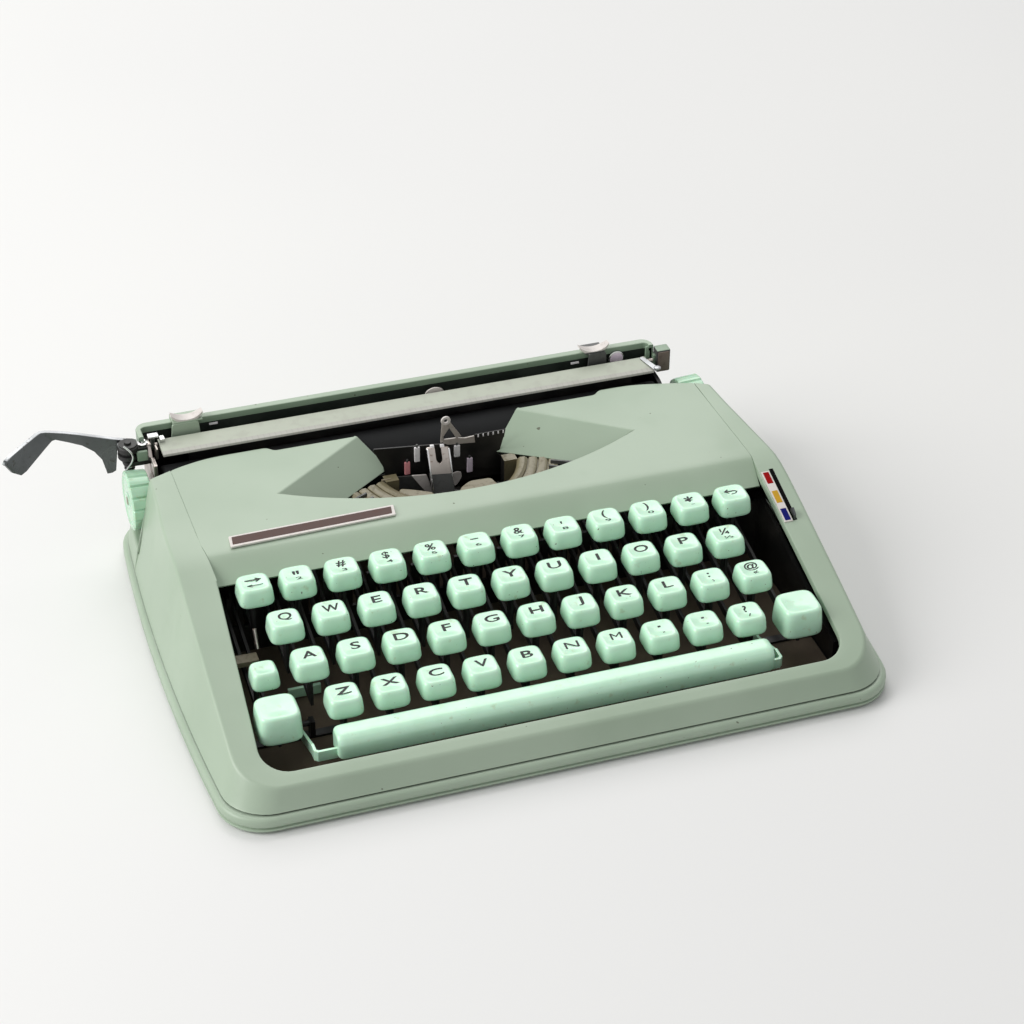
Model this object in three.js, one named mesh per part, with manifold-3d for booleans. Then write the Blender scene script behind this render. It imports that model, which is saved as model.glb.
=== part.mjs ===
// A flat portable typewriter: pressed tray, painted casing, lift-off ribbon cover, sprung keys and carriage.
// Millimetres. X runs to the right, Z up, and Y is counted back from the tray's front edge inside the group.
import * as THREE from "three";
import { mergeVertices } from "three/addons/utils/BufferGeometryUtils.js";
import Module from "manifold-3d";

const wasm = await Module();
wasm.setup();

// Clearances
const gap = 0.3; // between neighbouring pieces
const runningGap = 0.2; // round a pin or a rod

// Keys
const keyPitch = 19;
const rowPitch = 19;
const rowStep = 6; // each row is this much higher than the one in front
const frontRowY = 39.3;
const frontRowZ = 29.6; // top of the front row's caps
const capHeight = 10.8;
const capBaseHalfX = 7.8;
const capBaseHalfY = 7.6;
const capTopShrink = 1.3; // the cap is this much narrower on each side near its top
const capCrown = 1.6; // height of the rounded edge round the top
const capBevel = 1.2;
const shiftBeyond = 5.9; // the shift keys lie this far outside the longest row's end keys
const shiftCapHalfX = 8.6;
const shiftCapHalfY = 8.4;
const lockInset = 0.4; // the shift lock's cap lies this far inside the shift key's line
const lockLaneStep = 3.8; // and its lever this far outside it
const lockCapHalf = 5.8;
const lockCapHeight = 8;
const lockRow = 1;
const lockDrop = 0.8; // the lock's cap is lower than its row

// The rows, from the back: how far each is shifted from the middle, and its keys.
const keyRows = [
  { row: 3, shift: -1.2, keys: ["tab", "2", "3", "4", "5", "6", "7", "8", "9", "0", "dash", "backspace"] },
  { row: 2, shift: -1.95, keys: ["q", "w", "e", "r", "t", "y", "u", "i", "o", "p", "half"] },
  { row: 1, shift: 2.7, keys: ["a", "s", "d", "f", "g", "h", "j", "k", "l", "colon", "at"] },
  { row: 0, shift: 1.8, keys: ["z", "x", "c", "v", "b", "n", "m", "comma", "stop", "query"] },
];
const [longestRow] = keyRows;
const frontRow = keyRows[keyRows.length - 1];
const halfRow = ({ keys }) => ((keys.length - 1) / 2) * keyPitch;
const keyX = (line, i) => line.shift - halfRow(line) + i * keyPitch;
const rowY = (row) => frontRowY + row * rowPitch;
const rowZ = (row) => frontRowZ + row * rowStep;
const shiftX = halfRow(longestRow) + shiftBeyond;
const lockX = lockInset - shiftX;
const lockLaneX = -shiftX - lockLaneStep;

// Ribbon cover: its front edge just behind the back row, its plate just above it
const lipPlay = 1.3;
const lipDepth = 12.5; // from the front edge back to the fold
const lipDrop = 8.1;
const plateAboveKeys = 1.4;
const lipY = rowY(longestRow.row) + capBaseHalfY + lipPlay;
const foldY = lipY + lipDepth;
const plateZ = rowZ(longestRow.row) + plateAboveKeys;
const lipZ = plateZ - lipDrop;
const coverSheet = 1.5;
const coverStep = 3; // the outer ends of the cover reach further back
const coverStepX = 73.5;
const coverCornerRun = 17.5; // the rear corners are swept forwards
const coverCornerCut = 6.5;
const coverAheadOfPlaten = 4; // from the cover's rear edge to the platen's middle
const archTipBack = 32; // from that edge forwards to the tips of the opening over the type
const archSweep = 21.5; // and from the tips to its foremost point
const archHalf = 80.5; // half the width of the opening over the type
const flapRearHalf = 36.7; // half the gap between the two folded flaps at the rear
const flapLowRear = [25.8, 172.9]; // rear corner of a flap's lower edge
const flapLowTip = [56.5, 150.8];
const flapDrop = 11.5;
const flapSheet = 1.2;

// Key levers
const leverThick = 1.2;
const leverHalf = 1.75; // half the height of a lever's bar
const stemHalf = 2.5;
const stemInCap = 2;
const fulcrumBehindFold = 32.3;
const fulcrumZ = 32;
const fulcrumRadius = 1.5;
const eyeRadius = 3.6;
const bendBehindRow = 3.7; // levers flatten out ahead of a bend behind the home row
const bendZ = 14.3;
const leverFrontZ = 12.5;
const shiftBarBack = 8.5; // the bar that joins the two shift levers runs this far behind the fulcrum
const shiftBarRadius = 1.5;
const fulcrumY = foldY + fulcrumBehindFold;
const bendY = rowY(1) + bendBehindRow;

// Space bar
const barFromRow = 10.7; // from the bar's rear edge back to the middle of the front row
const barDepth = 10.4;
const barTopZ = 22.5;
const barHeight = 9.5;
const barInset = 5.8; // from an arm's middle to the bar's end
const barArmPlay = 0.5;
const barArmWidth = 3.4;
const barArmTopZ = 17;
const barArmHeight = 5;
const barPivotBehindRow = 10.7;
const barPivotZ = 8.5;
const barPinRadius = 1.2;
const barEyeRadius = 3;
const barFrontY = frontRowY - barFromRow - barDepth;
const barPivotY = frontRowY + barPivotBehindRow;
const barArmX = halfRow(frontRow) + frontRow.shift + capBaseHalfX + barArmPlay + barArmWidth / 2;
const barEndX = barArmX - barInset;

// Chassis
const platePlay = 3.5; // from a shift key's cap to the side plate
const plateThick = 1.8;
const combBehindLip = 5.8;
const combThick = 1.5;
const combTopZ = 30;
const combSlotZ = 15;
const combSlotPlay = 0.4;
const rearCrossBehindFulcrum = 13;
const crossThick = 5;
const rearCrossZ = 20;
const fulcrumCheek = 6; // the side plates rise round the fulcrum rod
const fulcrumCheekRise = 5;
const railWidth = 3.8;
const railBottomZ = 8;
const railTopZ = 15;
const plateX = shiftX + shiftCapHalfX + platePlay; // inner face of each side plate
const combY = lipY + combBehindLip;
const rearCrossY = fulcrumY + rearCrossBehindFulcrum;
const basketFootY = rearCrossY + crossThick;

// Type basket
const basketLift = 2; // from the levers' eyes up to the ring
const basketThick = 1.6;
const basketBehindFoot = 4;
const basketInner = 26;
const basketOuter = 42;
const basketPostX = 27;
const basketEndTurn = Math.PI / 12; // the half ring stops this far short of the flaps
const basketFootReach = 10;
const barLength = 15; // how far a type bar's head stands out past the ring
const typeBars = 22;
const barReach = 14; // the bars end this far ahead of the cover's opening
const barRoot = 4; // and start this far ahead of the ring's centre
const basketZ = fulcrumZ + eyeRadius + basketLift;
const basketCentreY = basketFootY + basketBehindFoot;

// Carriage
const carriageLeftX = -126;
const carriageRightX = 109.8;
const endPlateThick = 2;
const platenBehindFoot = 20.5;
const platenZ = 33.5;
const platenRadius = 12.5;
const platenShaftRadius = 3;
const knobRadius = 13.2;
const rightKnobRadius = 12.7; // passes under the flaps as the carriage travels
const knobWidth = 11.5;
const knobGap = 2.5; // from the end plate to the knob
const rightKnobGap = 5.5;
const endBlockReach = 8.2; // a block stands out from the right end plate
const endBlockDepth = 6;
const endBlockZ = 43;
const panGap = 0.8; // between the platen and the pan below it
const panThick = 1.6;
const truckLeftX = -20;
const truckRightX = 5;
const truckWall = 2.3;
const railBehindPlaten = 10;
const tableBehindBail = 3.9;
const tableBarDepth = 3.6;
const tableBarHeight = 6;
const tableSheet = 1.6;
const platenY = basketFootY + platenBehindFoot;
const railY = platenY + railBehindPlaten; // middle of the carriage rail

// Paper bail with its scale
const bailDepth = 12.4;
const bailThick = 1.4;
const bailAbovePlaten = 5;
const bailPivotBehindPlaten = 14.1;
const bailPinRadius = 1;
const bailEyeRadius = 2;
const bailZ = platenZ + platenRadius + bailAbovePlaten; // top face
const bailPivotY = platenY + bailPivotBehindPlaten;
const bailLeftInset = 3.2; // from the end plates to the strip
const bailRightInset = 3;
const bailLap = 0.8; // the strip laps over its pivot eyes by this much
const bailRearY = bailPivotY - bailEyeRadius + bailLap;
const tableY = bailPivotY + tableBehindBail; // front face of the paper table's top bar
const tableTopZ = bailZ + 5;
const tableRearY = tableY + tableBarDepth;

// Tray and casing: the casing goes round the chassis
const sideBand = 9.5; // width of the sloping top on each side of the keyboard
const trayBehindTable = 2.9;
const trayCorner = 17;
const sideBulge = 5.5; // how far the long sides swell at their middle
const trayRim = 7;
const trayFloor = 1;
const trayWall = 1.5;
const ledge = 3; // flat step between the tray's edge and the casing
const ledgeWidth = 5.5; // the whole width of the step, which the casing stands on
const sheet = 1.6; // casing wall
const sideLean = 7; // how far a side wall leans in on its way up to the plate
const frontLean = 22; // the same for the front wall, if it went up to the plate
const frontZ = 13.9; // height of the sloping sides at the tray's front edge
const plateInset = 3; // the ribbon cover's edge lies this far inside the chassis's side plate
const openingSplay = 2.4; // the keyboard opening widens by this towards the front
const lipTaper = 1.7; // and the cover's front edge is narrower than its plate
const openingFrontPlay = 4;
const openingCorner = 10;
const knobPlay = 2.4;
const knobCutDepth = 5.1;
const knobCutZ = 40; // below this the side wall stops short of the platen knob
const deckPlay = 0.6; // from the low deck up to the carriage's pan
const coverHalf = plateX - plateInset;
const trayHalfWidth = coverHalf + sideBand + sideLean + ledge;
const trayDepth = tableRearY + trayBehindTable;
const openingFrontHalf = coverHalf + openingSplay;
const lipHalf = coverHalf - lipTaper;
const openingFrontY = barFrontY - openingFrontPlay;
const knobCutY = platenY - knobRadius - knobPlay;
const casingRearY = knobCutY + knobCutDepth;
const panTopZ = platenZ - platenRadius - panGap;
const deckZ = panTopZ - panThick - deckPlay; // low deck behind the side walls
const deckOpeningRearY = railY + railWidth / 2 + gap + truckWall + 1;
const coverRearY = platenY - coverAheadOfPlaten;
const archTipY = coverRearY - archTipBack;
const archFrontY = archTipY - archSweep;

// Margin stops
const stopLeftX = -106.3;
const stopRightX = 81.3;
const stopHalf = 7;
const stopSheet = 1.3;
const stopGripHeight = 3.6;

// Return lever
const leverPinOut = 8; // outside the carriage's left end plate
const leverPinRadius = 1.6;
const bracketAboveKnob = 1.1;
const bracketThick = 2;
const hubRadius = 4.6;
const hubHeight = 7;
const armReach = 36; // from the pin to the bend, in plan
const armRise = 8;
const armTurn = 12; // degrees that the arm swings behind the line of the platen
const armThick = 1.6;
const armRootHeight = 6;
const webPlay = 5; // a web hangs below the arm this far past the platen knob
const webWidth = 3;
const webBottomZ = 42;
const armEndHeight = 4.5;
const tabReachX = 17; // the finger tab runs on from the bend
const tabReachY = 15;
const tabDrop = 8;
const tabWidth = 8;
const leverPinX = carriageLeftX - leverPinOut;
const leverPinY = tableRearY - hubRadius - 5.5;
const webReach = knobGap + knobWidth + webPlay - leverPinOut;
const bracketZ = platenZ + knobRadius + bracketAboveKnob;

// Ribbon guide and colour selector
const guideHalf = 6.3;
const guideThick = 1.2;
const guideTopZ = 46.5;
const guideShoulderZ = 27;
const guideStemHalf = 3;
const guideStemZ = 9;
const guideNotchHalf = 1.6;
const guideNotchDepth = 6.5;
const guideCheekThick = 2.5;
const selectorFromBand = 7.2; // from the ribbon cover's side edge
const selectorThick = 1.2;
const selectorAheadOfLip = 23.2;
const selectorLength = 4;
const selectorTravel = 19;
const guideCheekFoot = 2; // above the guide's foot
const guideCheekHeight = 12;
const guideCheekWrap = 0.8; // behind the guide
const selectorRise = 3;
const selectorFoot = 5;
const selectorX = coverHalf + selectorFromBand;
const selectorY = lipY - selectorAheadOfLip;

const paint = { color: 0xb4c4ae, roughness: 0.45, metalness: 0.1 };
const mint = { color: 0x8ed3b4, roughness: 0.25, metalness: 0 };
const blackSteel = { color: 0x1c1d1e, roughness: 0.5, metalness: 0.6 };
const chrome = { color: 0xc8c9c8, roughness: 0.2, metalness: 1 };
const brass = { color: 0x9a8a60, roughness: 0.4, metalness: 0.9 };
const rubber = { color: 0x161617, roughness: 0.7, metalness: 0 };

// ---- Solids ----

// A closed three.js geometry as a solid that can be joined and cut.
function solid(geometry) {
  geometry.deleteAttribute("normal");
  geometry.deleteAttribute("uv");
  const merged = mergeVertices(geometry, 1e-4);
  const vertProperties = new Float32Array(merged.attributes.position.array);
  const triVerts = new Uint32Array(merged.index.array);
  return new wasm.Manifold(new wasm.Mesh({ numProp: 3, vertProperties, triVerts }));
}

const join = (...solids) => solids.reduce((whole, piece) => whole.add(piece));

function shapeOf(points) {
  return new THREE.Shape(points.map(([a, b]) => new THREE.Vector2(a, b)));
}

// Plan outlines [x, y] raised from one height to another.
function alongZ(points, from, to) {
  const geometry = new THREE.ExtrudeGeometry(shapeOf(points), { depth: to - from, bevelEnabled: false });
  return solid(geometry.translate(0, 0, from));
}

// Side outlines [y, z] run from one X to another.
function alongX(points, from, to) {
  const geometry = new THREE.ExtrudeGeometry(shapeOf(points), { depth: to - from, bevelEnabled: false });
  const turn = new THREE.Matrix4().set(0, 0, 1, from, 1, 0, 0, 0, 0, 1, 0, 0, 0, 0, 0, 1);
  return solid(geometry.applyMatrix4(turn));
}

// Front outlines [x, z] run from one Y to another.
function alongY(points, from, to) {
  const turned = points.map(([x, z]) => [z, x]);
  const geometry = new THREE.ExtrudeGeometry(shapeOf(turned), { depth: to - from, bevelEnabled: false });
  const turn = new THREE.Matrix4().set(0, 1, 0, 0, 0, 0, 1, from, 1, 0, 0, 0, 0, 0, 0, 1);
  return solid(geometry.applyMatrix4(turn));
}

function block(x0, x1, y0, y1, z0, z1) {
  const geometry = new THREE.BoxGeometry(x1 - x0, y1 - y0, z1 - z0);
  return solid(geometry.translate((x0 + x1) / 2, (y0 + y1) / 2, (z0 + z1) / 2));
}

function rodX(x0, x1, y, z, radius, sides = 10) {
  const geometry = new THREE.CylinderGeometry(radius, radius, x1 - x0, sides);
  return solid(geometry.rotateZ(Math.PI / 2).translate((x0 + x1) / 2, y, z));
}

function rodZ(x, y, z0, z1, radius, sides = 12) {
  const geometry = new THREE.CylinderGeometry(radius, radius, z1 - z0, sides);
  return solid(geometry.rotateX(Math.PI / 2).translate(x, y, (z0 + z1) / 2));
}

// A bore whose flats, not its corners, clear the pin.
const boreRadius = (pin, sides) => (pin + runningGap) / Math.cos(Math.PI / sides);

// A solid through closed convex rings of [x, y, z] points, each with as many points.
function loft(rings) {
  const count = rings[0].length;
  const faces = [];
  for (let level = 0; level + 1 < rings.length; level++) {
    for (let i = 0; i < count; i++) {
      const a = level * count + i;
      const b = level * count + ((i + 1) % count);
      faces.push([a, b, b + count], [a, b + count, a + count]);
    }
  }
  const last = (rings.length - 1) * count;
  for (let i = 1; i + 1 < count; i++) {
    faces.push([0, i + 1, i], [last, last + i, last + i + 1]);
  }
  const facing = (triangles) => {
    const geometry = new THREE.BufferGeometry();
    geometry.setAttribute("position", new THREE.Float32BufferAttribute(rings.flat(2), 3));
    geometry.setIndex(triangles.flat());
    return solid(geometry);
  };
  const piece = facing(faces);
  return piece.volume() > 0 ? piece : facing(faces.map(([a, b, c]) => [a, c, b]));
}

function meshOf(name, piece, material) {
  const { numProp, vertProperties, triVerts } = piece.getMesh();
  const positions = [];
  for (let i = 0; i < vertProperties.length; i += numProp) {
    positions.push(vertProperties[i], vertProperties[i + 1], vertProperties[i + 2]);
  }
  const geometry = new THREE.BufferGeometry();
  geometry.setAttribute("position", new THREE.Float32BufferAttribute(positions, 3));
  geometry.setIndex([...triVerts]);
  geometry.computeVertexNormals();
  const mesh = new THREE.Mesh(geometry, new THREE.MeshStandardMaterial(material));
  mesh.name = name;
  return mesh;
}

// ---- Casings ----

// The plan outline that tray and casing share: a rounded rectangle whose long sides swell.
function casingRing(inset, frontInset, z, corner) {
  const halfWidth = trayHalfWidth - inset;
  const front = frontInset;
  const rear = trayDepth - inset;
  const centres = [
    [halfWidth - corner, rear - corner],
    [corner - halfWidth, rear - corner],
    [corner - halfWidth, front + corner],
    [halfWidth - corner, front + corner],
  ];
  const cornerSteps = 4;
  const sideSteps = 5;
  const points = [];
  centres.forEach(([x, y], quarter) => {
    for (let step = 0; step <= cornerSteps; step++) {
      const angle = ((quarter + step / cornerSteps) * Math.PI) / 2;
      points.push([x + corner * Math.cos(angle), y + corner * Math.sin(angle)]);
    }
    if (quarter % 2 === 1) {
      const from = quarter === 1 ? rear - corner : front + corner;
      const to = quarter === 1 ? front + corner : rear - corner;
      for (let step = 1; step < sideSteps; step++) {
        points.push([quarter === 1 ? -halfWidth : halfWidth, from + ((to - from) * step) / sideSteps]);
      }
    }
  });
  return points.map(([x, y]) => {
    const along = (2 * y) / trayDepth - 1;
    return [x * (1 + (sideBulge / trayHalfWidth) * (1 - along * along)), y, z];
  });
}

function baseTray() {
  const ring = (inset, z) => casingRing(inset, inset, z, trayCorner - inset);
  const outside = loft([ring(0, 0), ring(0, trayRim)]);
  const under = loft([ring(trayWall, trayFloor), ring(trayWall, trayRim - trayWall)]);
  const mouth = loft([ring(ledgeWidth, trayFloor), ring(ledgeWidth, trayRim + 1)]);
  return outside.subtract(under).subtract(mouth);
}

const slope = (plateZ - frontZ) / foldY;
const surfaceZ = (y) => plateZ - Math.max(0, foldY - y) * slope;

// The casing's outer form, or with a wall's thickness its inner form.
function casingForm(wall) {
  const foot = trayRim - (wall ? 1 : 0);
  const footFront = ledge + wall - ((wall ? 1 : 0) * frontLean) / (plateZ - trayRim);
  const rings = [
    casingRing(ledge + wall, footFront, foot, trayCorner),
    casingRing(ledge + wall + sideLean, ledge + wall + frontLean, plateZ, trayCorner),
  ];
  const side = [
    [-1, foot],
    [trayDepth + 1, foot],
    [trayDepth + 1, deckZ - wall],
    [knobCutY - wall, deckZ - wall],
    [knobCutY - wall, knobCutZ],
    [casingRearY - wall, plateZ - 3],
    [casingRearY - wall, plateZ - wall],
    [foldY, plateZ - wall],
    [-1, surfaceZ(-1) - wall],
  ];
  return loft(rings).intersect(alongX(side, -trayHalfWidth * 2, trayHalfWidth * 2));
}

// Keyboard opening and, behind the lip, the place of the ribbon cover.
function casingOpening() {
  const half = coverHalf + gap;
  const points = [];
  const steps = 4;
  for (let step = 0; step <= steps; step++) {
    const angle = Math.PI + (step / steps) * (Math.PI / 2);
    points.push([
      openingCorner - openingFrontHalf + openingCorner * Math.cos(angle),
      openingFrontY + openingCorner + openingCorner * Math.sin(angle),
    ]);
  }
  const left = [
    [-half, deckOpeningRearY],
    [-half, lipY - gap],
    [-lipHalf, lipY - gap],
    ...points,
  ];
  const right = left.map(([x, y]) => [-x, y]).reverse();
  return alongZ([...left, ...right], trayRim + 1, plateZ + 1);
}

function bodyShell() {
  const slot = block(
    selectorX - selectorThick / 2 - gap,
    selectorX + selectorThick / 2 + gap,
    selectorY - gap,
    selectorY + selectorLength + selectorTravel + 1,
    trayRim,
    plateZ,
  );
  return casingForm(0).subtract(casingForm(sheet)).subtract(casingOpening()).subtract(slot);
}

// Half the width of the cover's opening is a chord of this arc.
const archSagitta = archTipY - archFrontY;
const archRadius = (archHalf ** 2 + archSagitta ** 2) / (2 * archSagitta);

function coverArch() {
  const steps = 12;
  const reach = Math.asin(archHalf / archRadius);
  const arc = [];
  for (let step = 0; step <= steps; step++) {
    const angle = reach * ((2 * step) / steps - 1);
    arc.push([archRadius * Math.sin(angle), archFrontY + archRadius * (1 - Math.cos(angle))]);
  }
  const rear = [
    [flapRearHalf, coverRearY],
    [flapRearHalf, coverRearY + coverStep + 1],
    [-flapRearHalf, coverRearY + coverStep + 1],
    [-flapRearHalf, coverRearY],
  ];
  return alongZ([...arc, ...rear], lipZ - coverSheet, plateZ + 1);
}

// One flap, folded down towards the type from the line between the arch's tip and the rear gap.
function coverFlap(side) {
  const top = [
    [archHalf, archTipY, 0],
    [flapRearHalf, coverRearY, 0],
    [...flapLowRear, flapDrop],
    [...flapLowTip, flapDrop],
  ];
  const ring = (down) =>
    top.map(([x, y, drop]) => [side * x, y, plateZ - coverSheet / 2 + flapSheet / 2 - drop - down]);
  return loft([ring(flapSheet), ring(0)]);
}

function ribbonCover() {
  const side = [
    [lipY, lipZ],
    [lipY + 0.8, lipZ - coverSheet],
    [foldY + 0.6, plateZ - coverSheet],
    [coverRearY + coverStep, plateZ - coverSheet],
    [coverRearY + coverStep, plateZ],
    [foldY, plateZ],
  ];
  const plan = [
    [-lipHalf, lipY],
    [lipHalf, lipY],
    [coverHalf, foldY],
    [coverHalf, coverRearY + coverStep - coverCornerCut],
    [coverHalf - coverCornerRun, coverRearY + coverStep],
    [coverStepX + coverStep, coverRearY + coverStep],
    [coverStepX, coverRearY],
    [-coverStepX, coverRearY],
    [-coverStepX - coverStep, coverRearY + coverStep],
    [coverCornerRun - coverHalf, coverRearY + coverStep],
    [-coverHalf, coverRearY + coverStep - coverCornerCut],
    [-coverHalf, foldY],
  ];
  const plate = alongX(side, -coverHalf, coverHalf).intersect(alongZ(plan, 0, plateZ + 1));
  return join(plate.subtract(coverArch()), coverFlap(1), coverFlap(-1));
}

// ---- Keys ----

function capRing(halfX, halfY, bevel, y, z) {
  const corners = [
    [halfX, halfY - bevel],
    [halfX - bevel, halfY],
    [bevel - halfX, halfY],
    [-halfX, halfY - bevel],
    [-halfX, bevel - halfY],
    [bevel - halfX, -halfY],
    [halfX - bevel, -halfY],
    [halfX, bevel - halfY],
  ];
  return corners.map(([x, dy]) => [x, y + dy, z]);
}

function keyCap(halfX, halfY, height, y, topZ) {
  const crown = capTopShrink + capBevel;
  return loft([
    capRing(halfX, halfY, 2 * capBevel, y, topZ - height),
    capRing(halfX - capTopShrink, halfY - capTopShrink, 2 * capBevel, y, topZ - capCrown),
    capRing(halfX - crown, halfY - crown, 1.5 * capBevel, y, topZ),
  ]);
}

// Height of a lever's middle line: down from the fulcrum to the bend, then nearly level.
function leverZ(y) {
  if (y > bendY) return bendZ + ((y - bendY) / (fulcrumY - bendY)) * (fulcrumZ - bendZ);
  return leverFrontZ + ((y - frontRowY) / (bendY - frontRowY)) * (bendZ - leverFrontZ);
}

// The flat lever of a key: an eye on the fulcrum rod, a bar and a stem up into the cap.
function keyLever(x, y, capBottomZ) {
  const half = leverThick / 2;
  const frontY = y - stemHalf;
  const stemTop = capBottomZ + stemInCap;
  const bend = y + stemHalf < bendY ? [bendY] : [];
  const under = [frontY, ...bend, fulcrumY].map((at) => [at, leverZ(at) - leverHalf]);
  const over = [fulcrumY, ...bend, y + stemHalf].map((at) => [at, leverZ(at) + leverHalf]);
  const outline = [...under, ...over, [y + stemHalf, stemTop], [frontY, stemTop]];
  const eye = rodX(x - half, x + half, fulcrumY, fulcrumZ, eyeRadius);
  return join(alongX(outline, x - half, x + half), eye);
}

function fulcrumBore(halfWidth) {
  const radius = boreRadius(fulcrumRadius, 8);
  return rodX(-halfWidth, halfWidth, fulcrumY, fulcrumZ, radius, 8);
}

function rowKey(row) {
  const cap = keyCap(capBaseHalfX, capBaseHalfY, capHeight, rowY(row), rowZ(row));
  const lever = keyLever(0, rowY(row), rowZ(row) - capHeight);
  return join(cap, lever).subtract(fulcrumBore(leverThick));
}

function shiftLockKey() {
  const topZ = rowZ(lockRow) - lockDrop;
  const cap = keyCap(lockCapHalf, lockCapHalf, lockCapHeight, rowY(lockRow), topZ);
  const lever = keyLever(lockLaneX - lockX, rowY(lockRow), topZ - lockCapHeight);
  return join(cap, lever).subtract(fulcrumBore(2 * lockCapHalf));
}

// Both shift keys, with the bar that makes them move as one.
function shiftAssembly() {
  const barY = fulcrumY + shiftBarBack;
  const side = (x) => {
    const cap = keyCap(shiftCapHalfX, shiftCapHalfY, capHeight, frontRowY, frontRowZ);
    const half = leverThick / 2;
    const tail = block(-half, half, fulcrumY, barY, fulcrumZ - leverHalf, fulcrumZ + leverHalf);
    const lever = keyLever(0, frontRowY, frontRowZ - capHeight);
    return join(cap, lever, tail).subtract(fulcrumBore(leverThick)).translate([x, 0, 0]);
  };
  return join(side(-shiftX), side(shiftX), rodX(-shiftX, shiftX, barY, fulcrumZ, shiftBarRadius, 8));
}

function spaceBar() {
  const bottom = barTopZ - barHeight;
  const rear = barFrontY + barDepth;
  const bar = alongX(
    [
      [barFrontY + 0.6, bottom],
      [rear - 0.4, bottom],
      [rear, barTopZ - 1.6],
      [rear - 1.6, barTopZ],
      [barFrontY + 1.8, barTopZ],
      [barFrontY, barTopZ - 1.6],
    ],
    -barEndX,
    barEndX,
  );
  const arm = (side) => {
    const inner = side * (barArmX - barArmWidth / 2);
    const outer = side * (barArmX + barArmWidth / 2);
    const from = Math.min(inner, outer);
    const to = Math.max(inner, outer);
    const kneeY = barPivotY - 2 * barEyeRadius;
    const low = barArmTopZ - barArmHeight;
    const outline = [
      [barFrontY + 1, low],
      [kneeY, low],
      [barPivotY, barPivotZ - barEyeRadius],
      [barPivotY, barPivotZ + barEyeRadius],
      [kneeY, barArmTopZ],
      [barFrontY + 1, barArmTopZ],
    ];
    const end = side * barEndX;
    const tie = block(Math.min(end - side, outer), Math.max(end - side, outer), barFrontY + 1, rear - 2, low, barArmTopZ);
    return join(alongX(outline, from, to), rodX(from, to, barPivotY, barPivotZ, barEyeRadius), tie);
  };
  const reach = barArmX + barArmWidth;
  const bore = rodX(-reach, reach, barPivotY, barPivotZ, boreRadius(barPinRadius, 8), 8);
  return join(bar, arm(1), arm(-1)).subtract(bore);
}

const leverLanes = [
  lockLaneX,
  -shiftX,
  shiftX,
  ...keyRows.flatMap((line) => line.keys.map((_, i) => keyX(line, i))),
];

// ---- Chassis and type ----

function guideComb() {
  const half = leverThick / 2 + combSlotPlay;
  const top = [];
  for (const x of [...leverLanes].sort((a, b) => b - a)) {
    top.push([x + half, combTopZ], [x + half, combSlotZ], [x - half, combSlotZ], [x - half, combTopZ]);
  }
  const outline = [[-plateX - 1, trayFloor], [plateX + 1, trayFloor], [plateX + 1, combTopZ], ...top];
  return alongY([...outline, [-plateX - 1, combTopZ]], combY, combY + combThick);
}

function sidePlate(side) {
  const outline = [
    [barFrontY + barDepth, trayFloor],
    [deckOpeningRearY, trayFloor],
    [deckOpeningRearY, deckZ - sheet - gap],
    [knobCutY - sheet, deckZ - sheet - gap],
    [rearCrossY + crossThick, fulcrumZ],
    [fulcrumY + fulcrumCheek, fulcrumZ + fulcrumCheekRise],
    [fulcrumY - fulcrumCheek, fulcrumZ + fulcrumCheekRise],
    [combY, combTopZ + 4],
    [barFrontY + barDepth, surfaceZ(barFrontY) - 4 * sheet],
  ];
  const inner = side * plateX;
  const outer = side * (plateX + plateThick);
  return alongX(outline, Math.min(inner, outer), Math.max(inner, outer));
}

function spaceBarEar(side) {
  const inner = side * (barArmX - barArmWidth / 2 - gap);
  const outer = inner - side * 2;
  const [x0, x1] = [Math.min(inner, outer), Math.max(inner, outer)];
  const post = block(x0, x1, barPivotY - 2, barPivotY + 2, trayFloor, barPivotZ + 1.5);
  const tip = side * (barArmX + barArmWidth / 2);
  const pin = rodX(Math.min(outer, tip), Math.max(outer, tip), barPivotY, barPivotZ, barPinRadius, 8);
  return join(post, pin);
}

function chassis() {
  const x = plateX + 1;
  const guideWall = guideStemHalf + gap;
  const guideRear = basketFootY + gap + guideThick + guideCheekWrap;
  const guideCheek = (side) => {
    const [a, b] = [side * guideWall, side * (guideWall + guideCheekThick)];
    const foot = guideStemZ + guideCheekFoot;
    return block(Math.min(a, b), Math.max(a, b), rearCrossY + 1, guideRear, foot, foot + guideCheekHeight);
  };
  const post = (px) => block(px - 3, px + 3, rearCrossY, basketFootY, trayFloor, basketZ - gap);
  return join(
    sidePlate(-1),
    sidePlate(1),
    guideComb(),
    rodX(-x, x, fulcrumY, fulcrumZ, fulcrumRadius, 8),
    block(-x, x, barPivotY - 2, barPivotY + 2, trayFloor, trayFloor + 2),
    block(-x, x, rearCrossY, basketFootY, trayFloor, rearCrossZ),
    block(-x, x, railY - railWidth / 2, railY + railWidth / 2, railBottomZ, railTopZ),
    spaceBarEar(-1),
    spaceBarEar(1),
    post(-basketPostX),
    post(basketPostX),
    guideCheek(-1),
    guideCheek(1),
  );
}

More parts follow.
